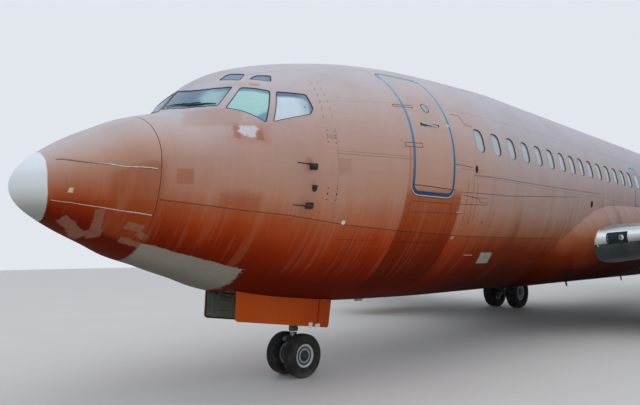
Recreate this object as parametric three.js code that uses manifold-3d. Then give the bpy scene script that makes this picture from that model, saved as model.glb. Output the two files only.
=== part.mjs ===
// A twin-engined, single-aisle jet airliner parked on its landing gear, at its real size in millimetres.
// +X runs aft along the fuselage, +Y to starboard and +Z up. The origin lies on the ground,
// half way along the overall length. Stations are distances aft of the nose tip, and heights
// are measured from the centre of the fuselage's upper lobe unless a name says otherwise.
import * as THREE from "three";
import { mergeVertices } from "three/addons/utils/BufferGeometryUtils.js";
import Module from "manifold-3d";

const wasm = await Module();
wasm.setup();

// Driving dimensions.
const OVERALL_LENGTH = 30530;
const LOBE_HEIGHT = 3115; // the upper lobe's centre above the ground
const SEAM = 0.4; // gap between panels that meet
const DOOR_GAP = 6; // gap round a door in its frame
const RADOME_SEAM = 1141; // station where the radome meets the forward pressure bulkhead
const RADOME_WALL = 30;
const RADOME_GAP = 6; // the radome swings up on a hinge along its upper edge

const NOSE_GEAR = { station: 3790, tyreRadius: 305, tyreWidth: 190, trackHalf: 185 };
const MAIN_GEAR = { station: 15170, tyreRadius: 508, tyreWidth: 350, trackHalf: 2615, wheelHalf: 380 };
const ENGINE = { inlet: 10400, side: 4830, centre: -1690 };

const RING_POINTS = 32;
const NACELLE_POINTS = 28;

// Fuselage sections from the nose tip to the tail. Above midHeight a section is half an ellipse that
// reaches up to top, and below it half an ellipse that reaches down to bottom.
const SECTION_COLUMNS = ["station", "top", "bottom", "halfWidth", "midHeight"];
const SECTIONS = [
  [2, -590, -622, 15, -606],
  [40, -536, -737, 128, -613],
  [120, -408, -851, 274, -609],
  [270, -260, -989, 444, -599],
  [500, -99, -1121, 619, -584],
  [770, 50, -1253, 775, -525],
  [1030, 179, -1384, 955, -435],
  [1360, 286, -1491, 1110, -390],
  [1560, 352, -1563, 1211, -368],
  [1860, 692, -1663, 1342, -324],
  [2210, 962, -1793, 1449, -265],
  [2810, 1200, -1919, 1580, -193],
  [3510, 1392, -2009, 1686, -131],
  [4395, 1575, -2081, 1791, -69],
  [5285, 1693, -2106, 1859, -29],
  [6810, 1810, -2130, 1880, 0],
  [8200, 1880, -2130, 1880, 0],
  [17500, 1880, -2130, 1880, 0],
  [19500, 1880, -2050, 1860, 30],
  [21500, 1870, -1700, 1750, 150],
  [23500, 1820, -1150, 1500, 400],
  [25500, 1720, -500, 1130, 650],
  [27500, 1550, 150, 700, 850],
  [28800, 1350, 600, 380, 980],
  [29540, 1150, 850, 150, 1000],
];

// Doors in the fuselage's skin. side is -1 on the port side and 1 on the starboard side, floor is how
// far the flat inner face of the door lies from the centre plane.
const DOOR_COLUMNS = ["name", "side", "centre", "width", "sill", "head", "floor", "radius"];
const DOORS = [
  ["door_forward_left", -1, 4840, 860, -560, 1240, 900, 130],
  ["door_forward_right", 1, 4760, 760, -560, 1090, 900, 120],
  ["airstair_door", -1, 4860, 900, -1370, -680, 1050, 60],
  ["cargo_door_forward", 1, 7700, 1220, -1650, -760, 900, 80],
  ["overwing_exit_left", -1, 13560, 510, -290, 680, 1300, 100],
  ["overwing_exit_right", 1, 13560, 510, -290, 680, 1300, 100],
  ["cargo_door_aft", 1, 20200, 1220, -1480, -640, 800, 80],
  ["door_aft_left", -1, 23100, 760, -560, 1200, 850, 120],
  ["door_aft_right", 1, 23100, 760, -560, 1090, 850, 120],
];

// Fuselage barrels between the production joints, each from one station to the next.
const BARREL_COLUMNS = ["name", "from", "to"];
const BARRELS = [
  ["nose_section", RADOME_SEAM, 5900],
  ["forward_fuselage", 5900, 9950],
  ["centre_fuselage", 9950, 17600],
  ["aft_fuselage", 17600, 24400],
  ["tail_cone", 24400, 29540],
];

// Side outline of the flight deck's windows on one side, as station and height.
const GLAZING_OUTLINE = [
  [1560, 440], [1815, 265], [2200, 95], [2300, 112], [2790, 262], [2865, 350],
  [2845, 552], [2440, 545], [2080, 582], [1880, 690], [1720, 640],
];
const GLAZING_THICKNESS = 40;
const CENTRE_POST_HALF = 45;

// Wing sections from the root outwards. z is the height of the leading edge.
const WING_COLUMNS = ["y", "leading", "chord", "z", "thickness"];
const WING_SECTIONS = [
  [1500, 9980, 6790, -1180, 860],
  [1900, 10310, 6430, -1140, 810],
  [5000, 12930, 3670, -815, 450],
  [9600, 15320, 2635, -330, 300],
  [14175, 17700, 1600, 150, 160],
];

// Hinged and sliding surfaces along the wing's trailing edge. inner and outer are spanwise places,
// innerChord and outerChord the surface's chord there, from its hinge line to the trailing edge.
const TRAILING_COLUMNS = ["name", "inner", "outer", "innerChord", "outerChord"];
const TRAILING_SURFACES = [
  ["flap_inboard", 2120, 4420, 1150, 1000],
  ["flap_outboard", 5250, 9750, 900, 640],
  ["aileron", 9850, 13000, 560, 430],
];
const SURFACE_END_GAP = 35;
const NOSE_SHARE = 0.94; // a surface's nose radius as a share of the wing's half thickness there

// The long fairings over the flap tracks, by the spanwise place of each.
const TRACK_FAIRINGS = [4130, 6150, 8700];
const TRACK_FAIRING = { forward: 900, overhang: 330, halfWidth: 105, depth: 250, clearance: 20 };

// Nacelle sections along the engine, as distances aft of the inlet lip. drop is how far the section's
// centre lies under the fan's centre line.
const NACELLE_COLUMNS = ["along", "up", "down", "side", "drop"];
const NACELLE_OUTER = [
  [0, 800, 790, 815, 0],
  [60, 860, 835, 890, 0],
  [350, 940, 870, 990, 0],
  [1100, 985, 885, 1050, 0],
  [1900, 860, 880, 1030, 60],
  [2500, 700, 830, 940, 120],
  [3300, 585, 670, 740, 160],
];
const NACELLE_INNER = [
  [3300, 555, 640, 705, 160],
  [2500, 655, 720, 760, 120],
  [1900, 765, 765, 765, 0],
  [700, 765, 765, 765, 0],
  [60, 745, 745, 760, 0],
];

const MATERIALS = {
  skin: { color: 0xb5563a, roughness: 0.62, metalness: 0.1 },
  white: { color: 0xd9d6cf, roughness: 0.55, metalness: 0 },
  bareMetal: { color: 0xb6b8ba, roughness: 0.35, metalness: 0.85 },
  grey: { color: 0x8d9296, roughness: 0.6, metalness: 0.1 },
  glass: { color: 0x1d2226, roughness: 0.12, metalness: 0 },
  steel: { color: 0x9fa3a6, roughness: 0.3, metalness: 0.9 },
  rubber: { color: 0x1b1b1c, roughness: 0.85, metalness: 0 },
};

const airliner = new THREE.Group();
airliner.name = "narrow_body_airliner";

function rowsToRecords(columns, rows) {
  return rows.map((row) => Object.fromEntries(columns.map((column, i) => [column, row[i]])));
}

const sections = rowsToRecords(SECTION_COLUMNS, SECTIONS);
const doors = rowsToRecords(DOOR_COLUMNS, DOORS);
const barrels = rowsToRecords(BARREL_COLUMNS, BARRELS);
const wingSections = rowsToRecords(WING_COLUMNS, WING_SECTIONS);
const trailingSurfaces = rowsToRecords(TRAILING_COLUMNS, TRAILING_SURFACES);
const nacelleOuter = rowsToRecords(NACELLE_COLUMNS, NACELLE_OUTER);
const nacelleInner = rowsToRecords(NACELLE_COLUMNS, NACELLE_INNER);

// A point of the part's frame from a station, a side distance and a height above the lobe's centre.
function place(station, y, height) {
  return new THREE.Vector3(station - OVERALL_LENGTH / 2, y, height + LOBE_HEIGHT);
}

function addMesh(name, geometry, materialName) {
  const mesh = new THREE.Mesh(geometry, new THREE.MeshStandardMaterial(MATERIALS[materialName]));
  mesh.name = name;
  airliner.add(mesh);
}

// A row of every named record column at one station, between the two nearest rows.
function blendRecords(records, key, value) {
  const after = records.findIndex((record) => record[key] >= value);
  const next = records[Math.max(after, 1)];
  const previous = records[Math.max(after, 1) - 1];
  const share = (value - previous[key]) / (next[key] - previous[key]);
  const blended = {};
  for (const column of Object.keys(next)) {
    blended[column] = THREE.MathUtils.lerp(previous[column], next[column], share);
  }
  return blended;
}

// A closed body through rings of equal length. Its ends are closed by fans, or joined to each other.
function loft(rings, endsMeet = false) {
  const count = rings[0].length;
  const positions = rings.flat().flatMap((point) => [point.x, point.y, point.z]);
  const index = [];
  const steps = endsMeet ? rings.length : rings.length - 1;
  for (let i = 0; i < steps; i++) {
    for (let j = 0; j < count; j++) {
      const a = i * count + j;
      const b = i * count + ((j + 1) % count);
      const c = ((i + 1) % rings.length) * count + j;
      const d = ((i + 1) % rings.length) * count + ((j + 1) % count);
      index.push(a, b, c, b, d, c);
    }
  }
  if (!endsMeet) {
    const last = (rings.length - 1) * count;
    for (let j = 1; j < count - 1; j++) {
      index.push(0, j + 1, j);
      index.push(last, last + j, last + j + 1);
    }
  }
  const geometry = new THREE.BufferGeometry();
  geometry.setAttribute("position", new THREE.Float32BufferAttribute(positions, 3));
  geometry.setIndex(index);
  return facingOut(geometry);
}

// The same geometry with its faces turned round if they point inwards.
function facingOut(geometry) {
  const position = geometry.attributes.position;
  const index = geometry.index.array;
  const [a, b, c] = [new THREE.Vector3(), new THREE.Vector3(), new THREE.Vector3()];
  let volume = 0;
  for (let i = 0; i < index.length; i += 3) {
    a.fromBufferAttribute(position, index[i]);
    b.fromBufferAttribute(position, index[i + 1]);
    c.fromBufferAttribute(position, index[i + 2]);
    volume += a.dot(b.cross(c));
  }
  if (volume < 0) {
    for (let i = 0; i < index.length; i += 3) {
      [index[i + 1], index[i + 2]] = [index[i + 2], index[i + 1]];
    }
  }
  return geometry;
}

function toSolid(geometry) {
  const bare = geometry.clone();
  bare.deleteAttribute("normal");
  bare.deleteAttribute("uv");
  const merged = mergeVertices(bare, 1e-3);
  const mesh = new wasm.Mesh({
    numProp: 3,
    vertProperties: new Float32Array(merged.attributes.position.array),
    triVerts: new Uint32Array(merged.index.array),
  });
  return new wasm.Manifold(mesh);
}

function toGeometry(solid) {
  const mesh = solid.getMesh();
  const geometry = new THREE.BufferGeometry();
  geometry.setAttribute("position", new THREE.Float32BufferAttribute(mesh.vertProperties, 3));
  geometry.setIndex(Array.from(mesh.triVerts));
  return geometry;
}

// A geometry after it is turned and moved, for use in a cut or a join.
function placed(geometry, position, rotation = [0, 0, 0]) {
  const turn = new THREE.Matrix4().makeRotationFromEuler(new THREE.Euler(...rotation));
  turn.setPosition(position);
  return geometry.clone().applyMatrix4(turn);
}

function boxSolid(station, y, height, length, width, depth, rotation) {
  return toSolid(placed(new THREE.BoxGeometry(length, width, depth), place(station, y, height), rotation));
}

// A rod between two points, as a cylinder with the given number of sides.
function rodSolid(from, to, radius, sides = 14) {
  const along = to.clone().sub(from);
  const geometry = new THREE.CylinderGeometry(radius, radius, along.length(), sides);
  const turn = new THREE.Quaternion().setFromUnitVectors(new THREE.Vector3(0, 1, 0), along.clone().normalize());
  const middle = from.clone().add(to).multiplyScalar(0.5);
  geometry.applyMatrix4(new THREE.Matrix4().compose(middle, turn, new THREE.Vector3(1, 1, 1)));
  return toSolid(geometry);
}

// An upright outline of stations and heights, given a thickness from one y to another.
function sidePrism(outline, fromY, toY) {
  const ring = (y) => outline.map(([station, height]) => place(station, y, height));
  return toSolid(loft([ring(fromY), ring(toY)]));
}

function sidePrismOfShape(outline, fromY, toY) {
  const shape = new THREE.Shape(outline.map(([station, height]) => new THREE.Vector2(station, height)));
  const geometry = new THREE.ExtrudeGeometry(shape, { depth: toY - fromY, bevelEnabled: false });
  // The shape's plane stands up: its x stays, its y becomes z, and the extrusion runs along y.
  const stand = new THREE.Matrix4().set(1, 0, 0, 0, 0, 0, 1, 0, 0, 1, 0, 0, 0, 0, 0, 1);
  geometry.applyMatrix4(stand);
  const corner = place(0, fromY, 0);
  geometry.translate(corner.x, corner.y, corner.z);
  return toSolid(indexedFacingOut(geometry));
}

function indexedFacingOut(geometry) {
  geometry.deleteAttribute("normal");
  geometry.deleteAttribute("uv");
  return facingOut(mergeVertices(geometry, 1e-3));
}

// Corner points of a rectangle of stations and heights whose corners are rounded.
function roundedRectangle(fromStation, toStation, low, high, radius) {
  const corners = [
    [toStation - radius, high - radius, 0],
    [fromStation + radius, high - radius, 90],
    [fromStation + radius, low + radius, 180],
    [toStation - radius, low + radius, 270],
  ];
  return corners.flatMap(([station, height, start]) =>
    [0, 30, 60, 90].map((step) => {
      const angle = THREE.MathUtils.degToRad(start + step);
      return [station + radius * Math.cos(angle), height + radius * Math.sin(angle)];
    }),
  );
}

// One ring round the fuselage. grow moves the surface outwards, or inwards where it is negative.
function fuselageRing(station, grow = 0) {
  const section = blendRecords(sections, "station", station);
  return Array.from({ length: RING_POINTS }, (_, i) => {
    const angle = (2 * Math.PI * i) / RING_POINTS;
    const reach = Math.sin(angle) > 0 ? section.top - section.midHeight : section.midHeight - section.bottom;
    const y = (section.halfWidth + grow) * Math.cos(angle);
    return place(station, y, section.midHeight + (reach + grow) * Math.sin(angle));
  });
}

function fuselageLoft(from, to, grow = 0) {
  const between = sections.map((section) => section.station).filter((s) => s > from + 5 && s < to - 5);
  return loft([from, ...between, to].map((station) => fuselageRing(station, grow)));
}

function doorPrism(door, grow) {
  const outline = roundedRectangle(
    door.centre - door.width / 2 - grow,
    door.centre + door.width / 2 + grow,
    door.sill - grow,
    door.head + grow,
    door.radius + grow,
  );
  const inner = door.side * (door.floor - grow);
  return sidePrism(outline, inner, door.side * 2600);
}

function makeFuselage() {
  for (const barrel of barrels) {
    let body = toSolid(fuselageLoft(barrel.from + SEAM / 2, barrel.to - SEAM / 2));
    for (const door of doors.filter((d) => d.centre > barrel.from && d.centre < barrel.to)) {
      addMesh(door.name, toGeometry(body.intersect(doorPrism(door, 0))), "skin");
      body = body.subtract(doorPrism(door, DOOR_GAP));
    }
    if (barrel.name === "nose_section") body = cutNose(body);
    if (barrel.name === "centre_fuselage") body = body.subtract(wheelBays());
    addMesh(barrel.name, toGeometry(body), "skin");
  }
}

// The flight deck's glazing is let into the nose, and the nose wheel's bay is open below.
function cutNose(nose) {
  const skin = toSolid(fuselageLoft(1300, 3400));
  const inner = toSolid(fuselageLoft(1200, 3500, -GLAZING_THICKNESS));
  let body = nose;
  for (const [name, side] of [["glazing_left", -1], ["glazing_right", 1]]) {
    const pane = sidePrismOfShape(GLAZING_OUTLINE, ...inOrder(side * CENTRE_POST_HALF, side * 1700));
    const rebate = pane.subtract(toSolid(fuselageLoft(1200, 3500, -GLAZING_THICKNESS - SEAM)));
    const glass = scaledAbout(pane, 0.994).intersect(skin).subtract(inner);
    addMesh(name, toGeometry(glass), "glass");
    body = body.subtract(rebate);
  }
  const bay = NOSE_BAY;
  const length = bay.to - bay.from;
  const middle = (bay.from + bay.to) / 2;
  const opening = boxSolid(middle, 0, (bay.roof - 2600) / 2, length, 2 * bay.half, bay.roof + 2600);
  const pad = NOSE_JACK;
  const jack = rodSolid(place(pad.station, 0, pad.bottom), place(pad.station, 0, pad.bottom + 150), pad.radius, 16);
  return body.subtract(opening).add(jack);
}

const NOSE_BAY = { from: 2480, to: 4290, half: 290, roof: -1050 };
const NOSE_JACK = { station: 5200, bottom: -2140, radius: 70 };

function inOrder(a, b) {
  return a < b ? [a, b] : [b, a];
}

// A solid made smaller or larger about the middle of its own box.
function scaledAbout(solid, factor) {
  const box = solid.boundingBox();
  const middle = [0, 1, 2].map((i) => (box.min[i] + box.max[i]) / 2);
  const back = middle.map((value) => -value);
  return solid.translate(back).scale([factor, 1, factor]).translate(middle);
}

function makeRadome() {
  const skin = toSolid(fuselageLoft(sections[0].station, RADOME_SEAM - RADOME_GAP));
  const hollow = toSolid(fuselageLoft(120, RADOME_SEAM + 50, -RADOME_WALL));
  addMesh("radome", toGeometry(skin.subtract(hollow)), "white");
}

// Half thickness of an aerofoil at a share of its chord: a blunt nose and a thin trailing edge.
function aerofoilHalf(share) {
  return 1.48 * Math.sqrt(share) - 0.63 * share - 1.76 * share ** 2 + 1.42 * share ** 3 - 0.49 * share ** 4;
}

const CHORD_SHARES = [0, 0.012, 0.05, 0.13, 0.28, 0.48, 0.7, 0.87, 1];
const TRAILING_EDGE = 10;

// One ring round a wing-like section. axisPoint turns a chord distance and a height into a point.
function aerofoilRing(chord, thickness, axisPoint, grow = 0) {
  const upper = CHORD_SHARES.map((share) => [share, 1]);
  const lower = CHORD_SHARES.slice(1).reverse().map((share) => [share, -1]);
  return [...upper, ...lower].map(([share, side]) => {
    const half = Math.max(aerofoilHalf(share) * thickness, TRAILING_EDGE / 2) + grow;
    const along = -grow + share * (chord + 2 * grow);
    return axisPoint(along, share === 0 ? 0 : side * half);
  });
}

function wingRing(y, side, grow = 0) {
  const section = blendRecords(wingSections, "y", y);
  // The chord falls a little towards the trailing edge.
  const point = (along, height) => place(section.leading + along, side * y, section.z - 0.02 * along + height);
  return aerofoilRing(section.chord, section.thickness, point, grow);
}

function wingLoft(side, fromY, toY, grow = 0) {
  const between = wingSections.map((section) => section.y).filter((y) => y > fromY + 5 && y < toY - 5);
  return loft([fromY, ...between, toY].map((y) => wingRing(y, side, grow)));
}

// Where a trailing surface's hinge line and chord plane lie at one spanwise place.
function trailingFrame(surface, y) {
  const section = blendRecords(wingSections, "y", y);
  const share = (y - surface.inner) / (surface.outer - surface.inner);
  const chord = THREE.MathUtils.lerp(surface.innerChord, surface.outerChord, share);
  const along = section.chord - chord;
  const half = aerofoilHalf(along / section.chord) * section.thickness;
  return { station: section.leading + along, height: section.z - 0.02 * along, half, chord };
}

// A round-nosed wedge from its hinge line to the trailing edge.
function wedgeRing(frame, point) {
  const radius = frame.half * NOSE_SHARE;
  const ring = [];
  for (let step = 0; step <= 6; step++) {
    const angle = Math.PI / 2 + (Math.PI * step) / 6;
    ring.push(point(radius * Math.cos(angle), radius * Math.sin(angle)));
  }
  ring.push(point(frame.chord, -TRAILING_EDGE / 2));
  ring.push(point(frame.chord, TRAILING_EDGE / 2));
  return ring;
}

function makeWing(side, name, fairing, fuselage, nacelle) {
  let wing = toSolid(wingLoft(side, wingSections[0].y, wingSections.at(-1).y));
  for (const surface of trailingSurfaces) {
    const ends = [surface.inner, surface.outer];
    const rings = ends.map((y) => {
      const frame = trailingFrame(surface, y);
      const point = (along, height) =>
        place(frame.station + along, side * y, frame.height - 0.02 * along + height);
      return wedgeRing(frame, point);
    });
    addMesh(`${surface.name}_${name}`, loft(rings), surface.name === "aileron" ? "skin" : "bareMetal");
    const slot = [surface.inner - SURFACE_END_GAP, surface.outer + SURFACE_END_GAP].map((y) => {
      const frame = trailingFrame(surface, y);
      const front = frame.station - frame.half - 14;
      const corners = [[front, 900], [front + 3000, 900], [front + 3000, -900], [front, -900]];
      return corners.map(([station, height]) => place(station, side * y, frame.height + height));
    });
    wing = wing.subtract(toSolid(loft(slot)));
  }
  for (const y of TRACK_FAIRINGS) wing = wing.add(trackFairing(side, y));
  wing = wing.subtract(fairing).subtract(fuselage);
  const lens = wing.intersect(landingLightSlab(side, 0));
  addMesh(`landing_light_${name}`, toGeometry(lens), "glass");
  wing = wing.subtract(landingLightSlab(side, SEAM)).add(jackPad(side));
  addMesh(`wing_${name}`, toGeometry(wing), "bareMetal");
  makePylon(side, name, nacelle);
}

// One boat-shaped fairing. It starts in the wing's lower skin and runs aft under the flap.
function trackFairing(side, y) {
  const surface = trailingSurfaces.find((record) => y > record.inner && y < record.outer);
  const frame = trailingFrame(surface, y);
  const { forward, overhang, halfWidth, depth, clearance } = TRACK_FAIRING;
  const slotFront = -frame.half - 14;
  const flapBottom = (along) => {
    const share = Math.max(along, 0) / frame.chord;
    return -THREE.MathUtils.lerp(frame.half * NOSE_SHARE, TRAILING_EDGE / 2, Math.min(share, 1)) - clearance;
  };
  const end = frame.chord + overhang;
  const rings = [
    [slotFront - forward, 0.1], [slotFront - 0.8 * forward, 0.5], [slotFront - 0.45 * forward, 0.85],
    [slotFront + 1, 1], [0, 1], [0.3 * frame.chord, 0.97], [0.75 * frame.chord, 0.75],
    [frame.chord, 0.5], [end, 0.06],
  ].map(([along, size]) => {
    const top = along < slotFront ? -0.55 * frame.half : flapBottom(along);
    const bottom = flapBottom(along) - depth * size;
    return Array.from({ length: 12 }, (_, i) => {
      const angle = (2 * Math.PI * i) / 12;
      const height = Math.sin(angle) > 0 ? top : THREE.MathUtils.lerp(top, bottom, -Math.sin(angle));
      return place(
        frame.station + along,
        side * y + halfWidth * Math.sqrt(size) * Math.cos(angle),
        frame.height - 0.02 * along + height,
      );
    });
  });
  return toSolid(loft(rings));
}

// The landing light lies behind a window in the wing root's leading edge.
const LANDING_LIGHT = { inner: 2100, outer: 2400, depth: 62 };

function landingLightSlab(side, grow) {
  const { inner, outer, depth } = LANDING_LIGHT;
  const rings = [inner - grow, outer + grow].map((y) => {
    const { leading, z } = blendRecords(wingSections, "y", y);
    const corners = [[-100, -400], [depth + grow, -400], [depth + grow, 400], [-100, 400]];
    return corners.map(([along, height]) => place(leading + along, side * y, z + height));
  });
  return toSolid(loft(rings));
}

const JACK_PAD = { station: 14300, y: 3500, bottom: -1500, radius: 90, depth: 320 };

function jackPad(side) {
  const top = place(JACK_PAD.station, side * JACK_PAD.y, JACK_PAD.bottom + JACK_PAD.depth);
  const bottom = place(JACK_PAD.station, side * JACK_PAD.y, JACK_PAD.bottom);
  return rodSolid(bottom, top, JACK_PAD.radius, 16);
}

// The fairing fills the corner between the wing roots and the belly, and holds the main wheels' bays.
// Each section is an ellipse, and what lies inside the fuselage is cut away.
const FAIRING_COLUMNS = ["station", "halfWidth", "top", "bottom"];
const FAIRING_SECTIONS = [
  [9150, 1300, -450, -1950],
  [9430, 1620, -487, -2150],
  [10100, 1900, -117, -2150],
  [10714, 1970, 249, -2150],
  [11600, 2000, 451, -2150],
  [13600, 2020, 540, -2150],
  [16400, 2020, 305, -2150],
  [17600, 1900, -117, -2150],
  [18500, 1570, -798, -2100],
  [18950, 1200, -500, -1900],
];
const fairingSections = rowsToRecords(FAIRING_COLUMNS, FAIRING_SECTIONS);

function fairingRing(section, grow) {
  const middle = (section.top + section.bottom) / 2;
  const half = (section.top - section.bottom) / 2 + grow;
  return Array.from({ length: RING_POINTS }, (_, i) => {
    const angle = (2 * Math.PI * i) / RING_POINTS;
    const y = (section.halfWidth + grow) * Math.cos(angle);
    return place(section.station, y, middle + half * Math.sin(angle));
  });
}

function fairingSolid(grow) {
  return toSolid(loft(fairingSections.map((section) => fairingRing(section, grow))));
}

const WHEEL_BAY = { y: 800, radius: 570, roof: -1640 };

function makeFairing(fuselage) {
  const fairing = fairingSolid(0).subtract(fuselage).subtract(wheelBays());
  addMesh("wing_body_fairing", toGeometry(fairing), "skin");
}

// The round bays, open below, that the main wheels retract into.
function wheelBays() {
  const [left, right] = [-1, 1].map((side) => {
    const top = place(MAIN_GEAR.station, side * WHEEL_BAY.y, WHEEL_BAY.roof);
    const bottom = place(MAIN_GEAR.station, side * WHEEL_BAY.y, -2600);
    return rodSolid(bottom, top, WHEEL_BAY.radius, 24);
  });
  return left.add(right);
}

function nacelleRing(section, side, grow = 0) {
  return Array.from({ length: NACELLE_POINTS }, (_, i) => {
    const angle = (2 * Math.PI * i) / NACELLE_POINTS;
    const reach = Math.sin(angle) > 0 ? section.up : section.down;
    const y = side * ENGINE.side + (section.side + grow) * Math.cos(angle);
    const height = ENGINE.centre - section.drop + (reach + grow) * Math.sin(angle);
    return place(ENGINE.inlet + section.along, y, height);
  });
}

// The nacelle's outer form without its duct.
function nacelleBlock(side, grow) {
  return toSolid(loft(nacelleOuter.map((section) => nacelleRing(section, side, grow))));
}

// A body turned about the engine's axis, from pairs of a distance aft of the inlet and a radius.
function engineLathe(side, profile, segments) {
  const points = profile.map(([along, radius]) => new THREE.Vector2(radius, along));
  const geometry = new THREE.LatheGeometry(points, segments);
  geometry.rotateZ(-Math.PI / 2);
  const centre = place(ENGINE.inlet, side * ENGINE.side, ENGINE.centre);
  geometry.translate(centre.x, centre.y, centre.z);
  return indexedFacingOut(geometry);
}

// Fan blade sections from the root outwards. pitch is the angle in degrees that the chord makes with
// the fan's plane.
const BLADE_COLUMNS = ["radius", "pitch", "chord", "thickness"];
const BLADE_SECTIONS = [
  [210, 64, 103, 16],
  [480, 46, 132, 11],
  [748, 28, 160, 8],
];
const bladeSections = rowsToRecords(BLADE_COLUMNS, BLADE_SECTIONS);
const FAN_BLADES = 38;
const FAN_PLANE = 1075;

function fanBlade() {
  const rings = bladeSections.map(({ radius, pitch, chord, thickness }) => {
    const angle = THREE.MathUtils.degToRad(pitch);
    const corners = [[-chord, -thickness], [chord, -thickness], [chord, thickness], [-chord, thickness]];
    return corners.map(([along, across]) => new THREE.Vector3(
      (along * Math.sin(angle) - across * Math.cos(angle)) / 2,
      (along * Math.cos(angle) + across * Math.sin(angle)) / 2,
      radius,
    ));
  });
  return loft(rings);
}

function makeEngine(side, name) {
  const rings = [...nacelleOuter, ...nacelleInner].map((section) => nacelleRing(section, side));
  addMesh(`nacelle_${name}`, loft(rings, true), "skin");

  let fan = toSolid(engineLathe(side, [[640, 0], [700, 60], [880, 200], [1000, 262], [1150, 262], [1150, 0]], 20));
  const hub = place(ENGINE.inlet + FAN_PLANE, side * ENGINE.side, ENGINE.centre);
  for (let i = 0; i < FAN_BLADES; i++) {
    fan = fan.add(toSolid(placed(fanBlade(), hub, [(2 * Math.PI * i) / FAN_BLADES, 0, 0])));
  }
  addMesh(`fan_${name}`, toGeometry(fan), "steel");

  // The guide vanes, core and exhaust plug are one plain block.
  const core = [
    [1200, 0], [1200, 757], [1320, 757], [1320, 520], [2300, 500], [3300, 370], [4000, 330],
    [4000, 240], [4600, 50], [4600, 0],
  ];
  addMesh(`engine_core_${name}`, engineLathe(side, core, 24), "grey");
}

const PYLON_OUTLINE = [
  [11550, -800], [11950, -680], [12900, -770], [13300, -900], [15200, -950],
  [15300, -1150], [14300, -1290], [11700, -1290],
];
const PYLON_HALF = 130;

function makePylon(side, name, nacelle) {
  const prism = sidePrismOfShape(
    PYLON_OUTLINE,
    side * ENGINE.side - PYLON_HALF,
    side * ENGINE.side + PYLON_HALF,
  );
  const wing = toSolid(wingLoft(side, 3500, 6500, SEAM));
  const pylon = prism.subtract(nacelle).subtract(wing);
  addMesh(`pylon_${name}`, toGeometry(pylon), "skin");
}

// Fin sections: height above the lobe's centre, leading edge, chord and thickness.
const FIN_COLUMNS = ["height", "leading", "chord", "thickness"];
const FIN_SECTIONS = [
  [1250, 22650, 5900, 560],
  [1900, 23150, 5500, 520],
  [8160, 27600, 2100, 180],
];
const finSections = rowsToRecords(FIN_COLUMNS, FIN_SECTIONS);
const RUDDER = { low: 1950, high: 8080, lowChord: 1500, highChord: 640 };
const DORSAL_OUTLINE = [[20300, 1700], [23900, 2950], [24800, 2950], [24800, 1500], [20300, 1500]];
const DORSAL_HALF = 70;

function makeFin(tailBlock) {
  const rings = finSections.map((section) =>
    aerofoilRing(section.chord, section.thickness, (along, across) =>
      place(section.leading + along, across, section.height),
    ),
  );
  let fin = toSolid(loft(rings)).add(sidePrismOfShape(DORSAL_OUTLINE, -DORSAL_HALF, DORSAL_HALF));
  const rudderFrames = [RUDDER.low, RUDDER.high].map((height) => rudderFrame(height));
  const slot = [RUDDER.low - 60, 8500].map((height) => {
    const frame = rudderFrame(height);
    const front = frame.station - frame.half - 14;
    return [[front, 600], [front + 3500, 600], [front + 3500, -600], [front, -600]].map(([station, y]) =>
      place(station, y, height),
    );
  });
  fin = fin.subtract(toSolid(loft(slot))).subtract(tailBlock);
  addMesh("fin", toGeometry(fin), "skin");
  const rudder = loft(
    rudderFrames.map((frame) =>
      wedgeRing(frame, (along, across) => place(frame.station + along, across, frame.height)),
    ),
  );
  addMesh("rudder", rudder, "skin");
}

// Where the rudder's hinge line lies at one height.
function rudderFrame(height) {
  const section = blendRecords(finSections, "height", Math.min(height, 8160));
  const share = (height - RUDDER.low) / (RUDDER.high - RUDDER.low);
  const chord = THREE.MathUtils.lerp(RUDDER.lowChord, RUDDER.highChord, share);
  const along = section.chord - chord;
  const half = aerofoilHalf(along / section.chord) * section.thickness;
  return { station: section.leading + along, height, half, chord };
}

const STABILISER_COLUMNS = ["y", "leading", "chord", "z", "thickness"];
const STABILISER_SECTIONS = [
  [250, 25000, 3500, 960, 380],
  [5485, 28430, 2100, 1600, 190],
];
const stabiliserSections = rowsToRecords(STABILISER_COLUMNS, STABILISER_SECTIONS);
const ELEVATOR = { inner: 760, outer: 5300, innerChord: 900, outerChord: 560 };

function elevatorFrame(y) {
  const section = blendRecords(stabiliserSections, "y", y);
  const share = (y - ELEVATOR.inner) / (ELEVATOR.outer - ELEVATOR.inner);
  const chord = THREE.MathUtils.lerp(ELEVATOR.innerChord, ELEVATOR.outerChord, share);
  const along = section.chord - chord;
  const half = aerofoilHalf(along / section.chord) * section.thickness;
  return { station: section.leading + along, height: section.z, half, chord };
}

function makeStabiliser(side, name, tailBlock) {
  const rings = stabiliserSections.map((section) =>
    aerofoilRing(section.chord, section.thickness, (along, height) =>
      place(section.leading + along, side * section.y, section.z + height),
    ),
  );
  let stabiliser = toSolid(loft(rings));
  const slot = [100, ELEVATOR.outer + SURFACE_END_GAP].map((y) => {
    const frame = elevatorFrame(y);
    const front = frame.station - frame.half - 14;
    const corners = [[front, 600], [front + 2500, 600], [front + 2500, -600], [front, -600]];
    return corners.map(([station, height]) => place(station, side * y, frame.height + height));
  });
  stabiliser = stabiliser.subtract(toSolid(loft(slot))).subtract(tailBlock);
  addMesh(`stabiliser_${name}`, toGeometry(stabiliser), "skin");
  const elevator = [ELEVATOR.inner, ELEVATOR.outer].map((y) => {
    const frame = elevatorFrame(y);
    const point = (along, height) => place(frame.station + along, side * y, frame.height + height);
    return wedgeRing(frame, point);
  });
  addMesh(`elevator_${name}`, loft(elevator), "skin");
}

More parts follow.
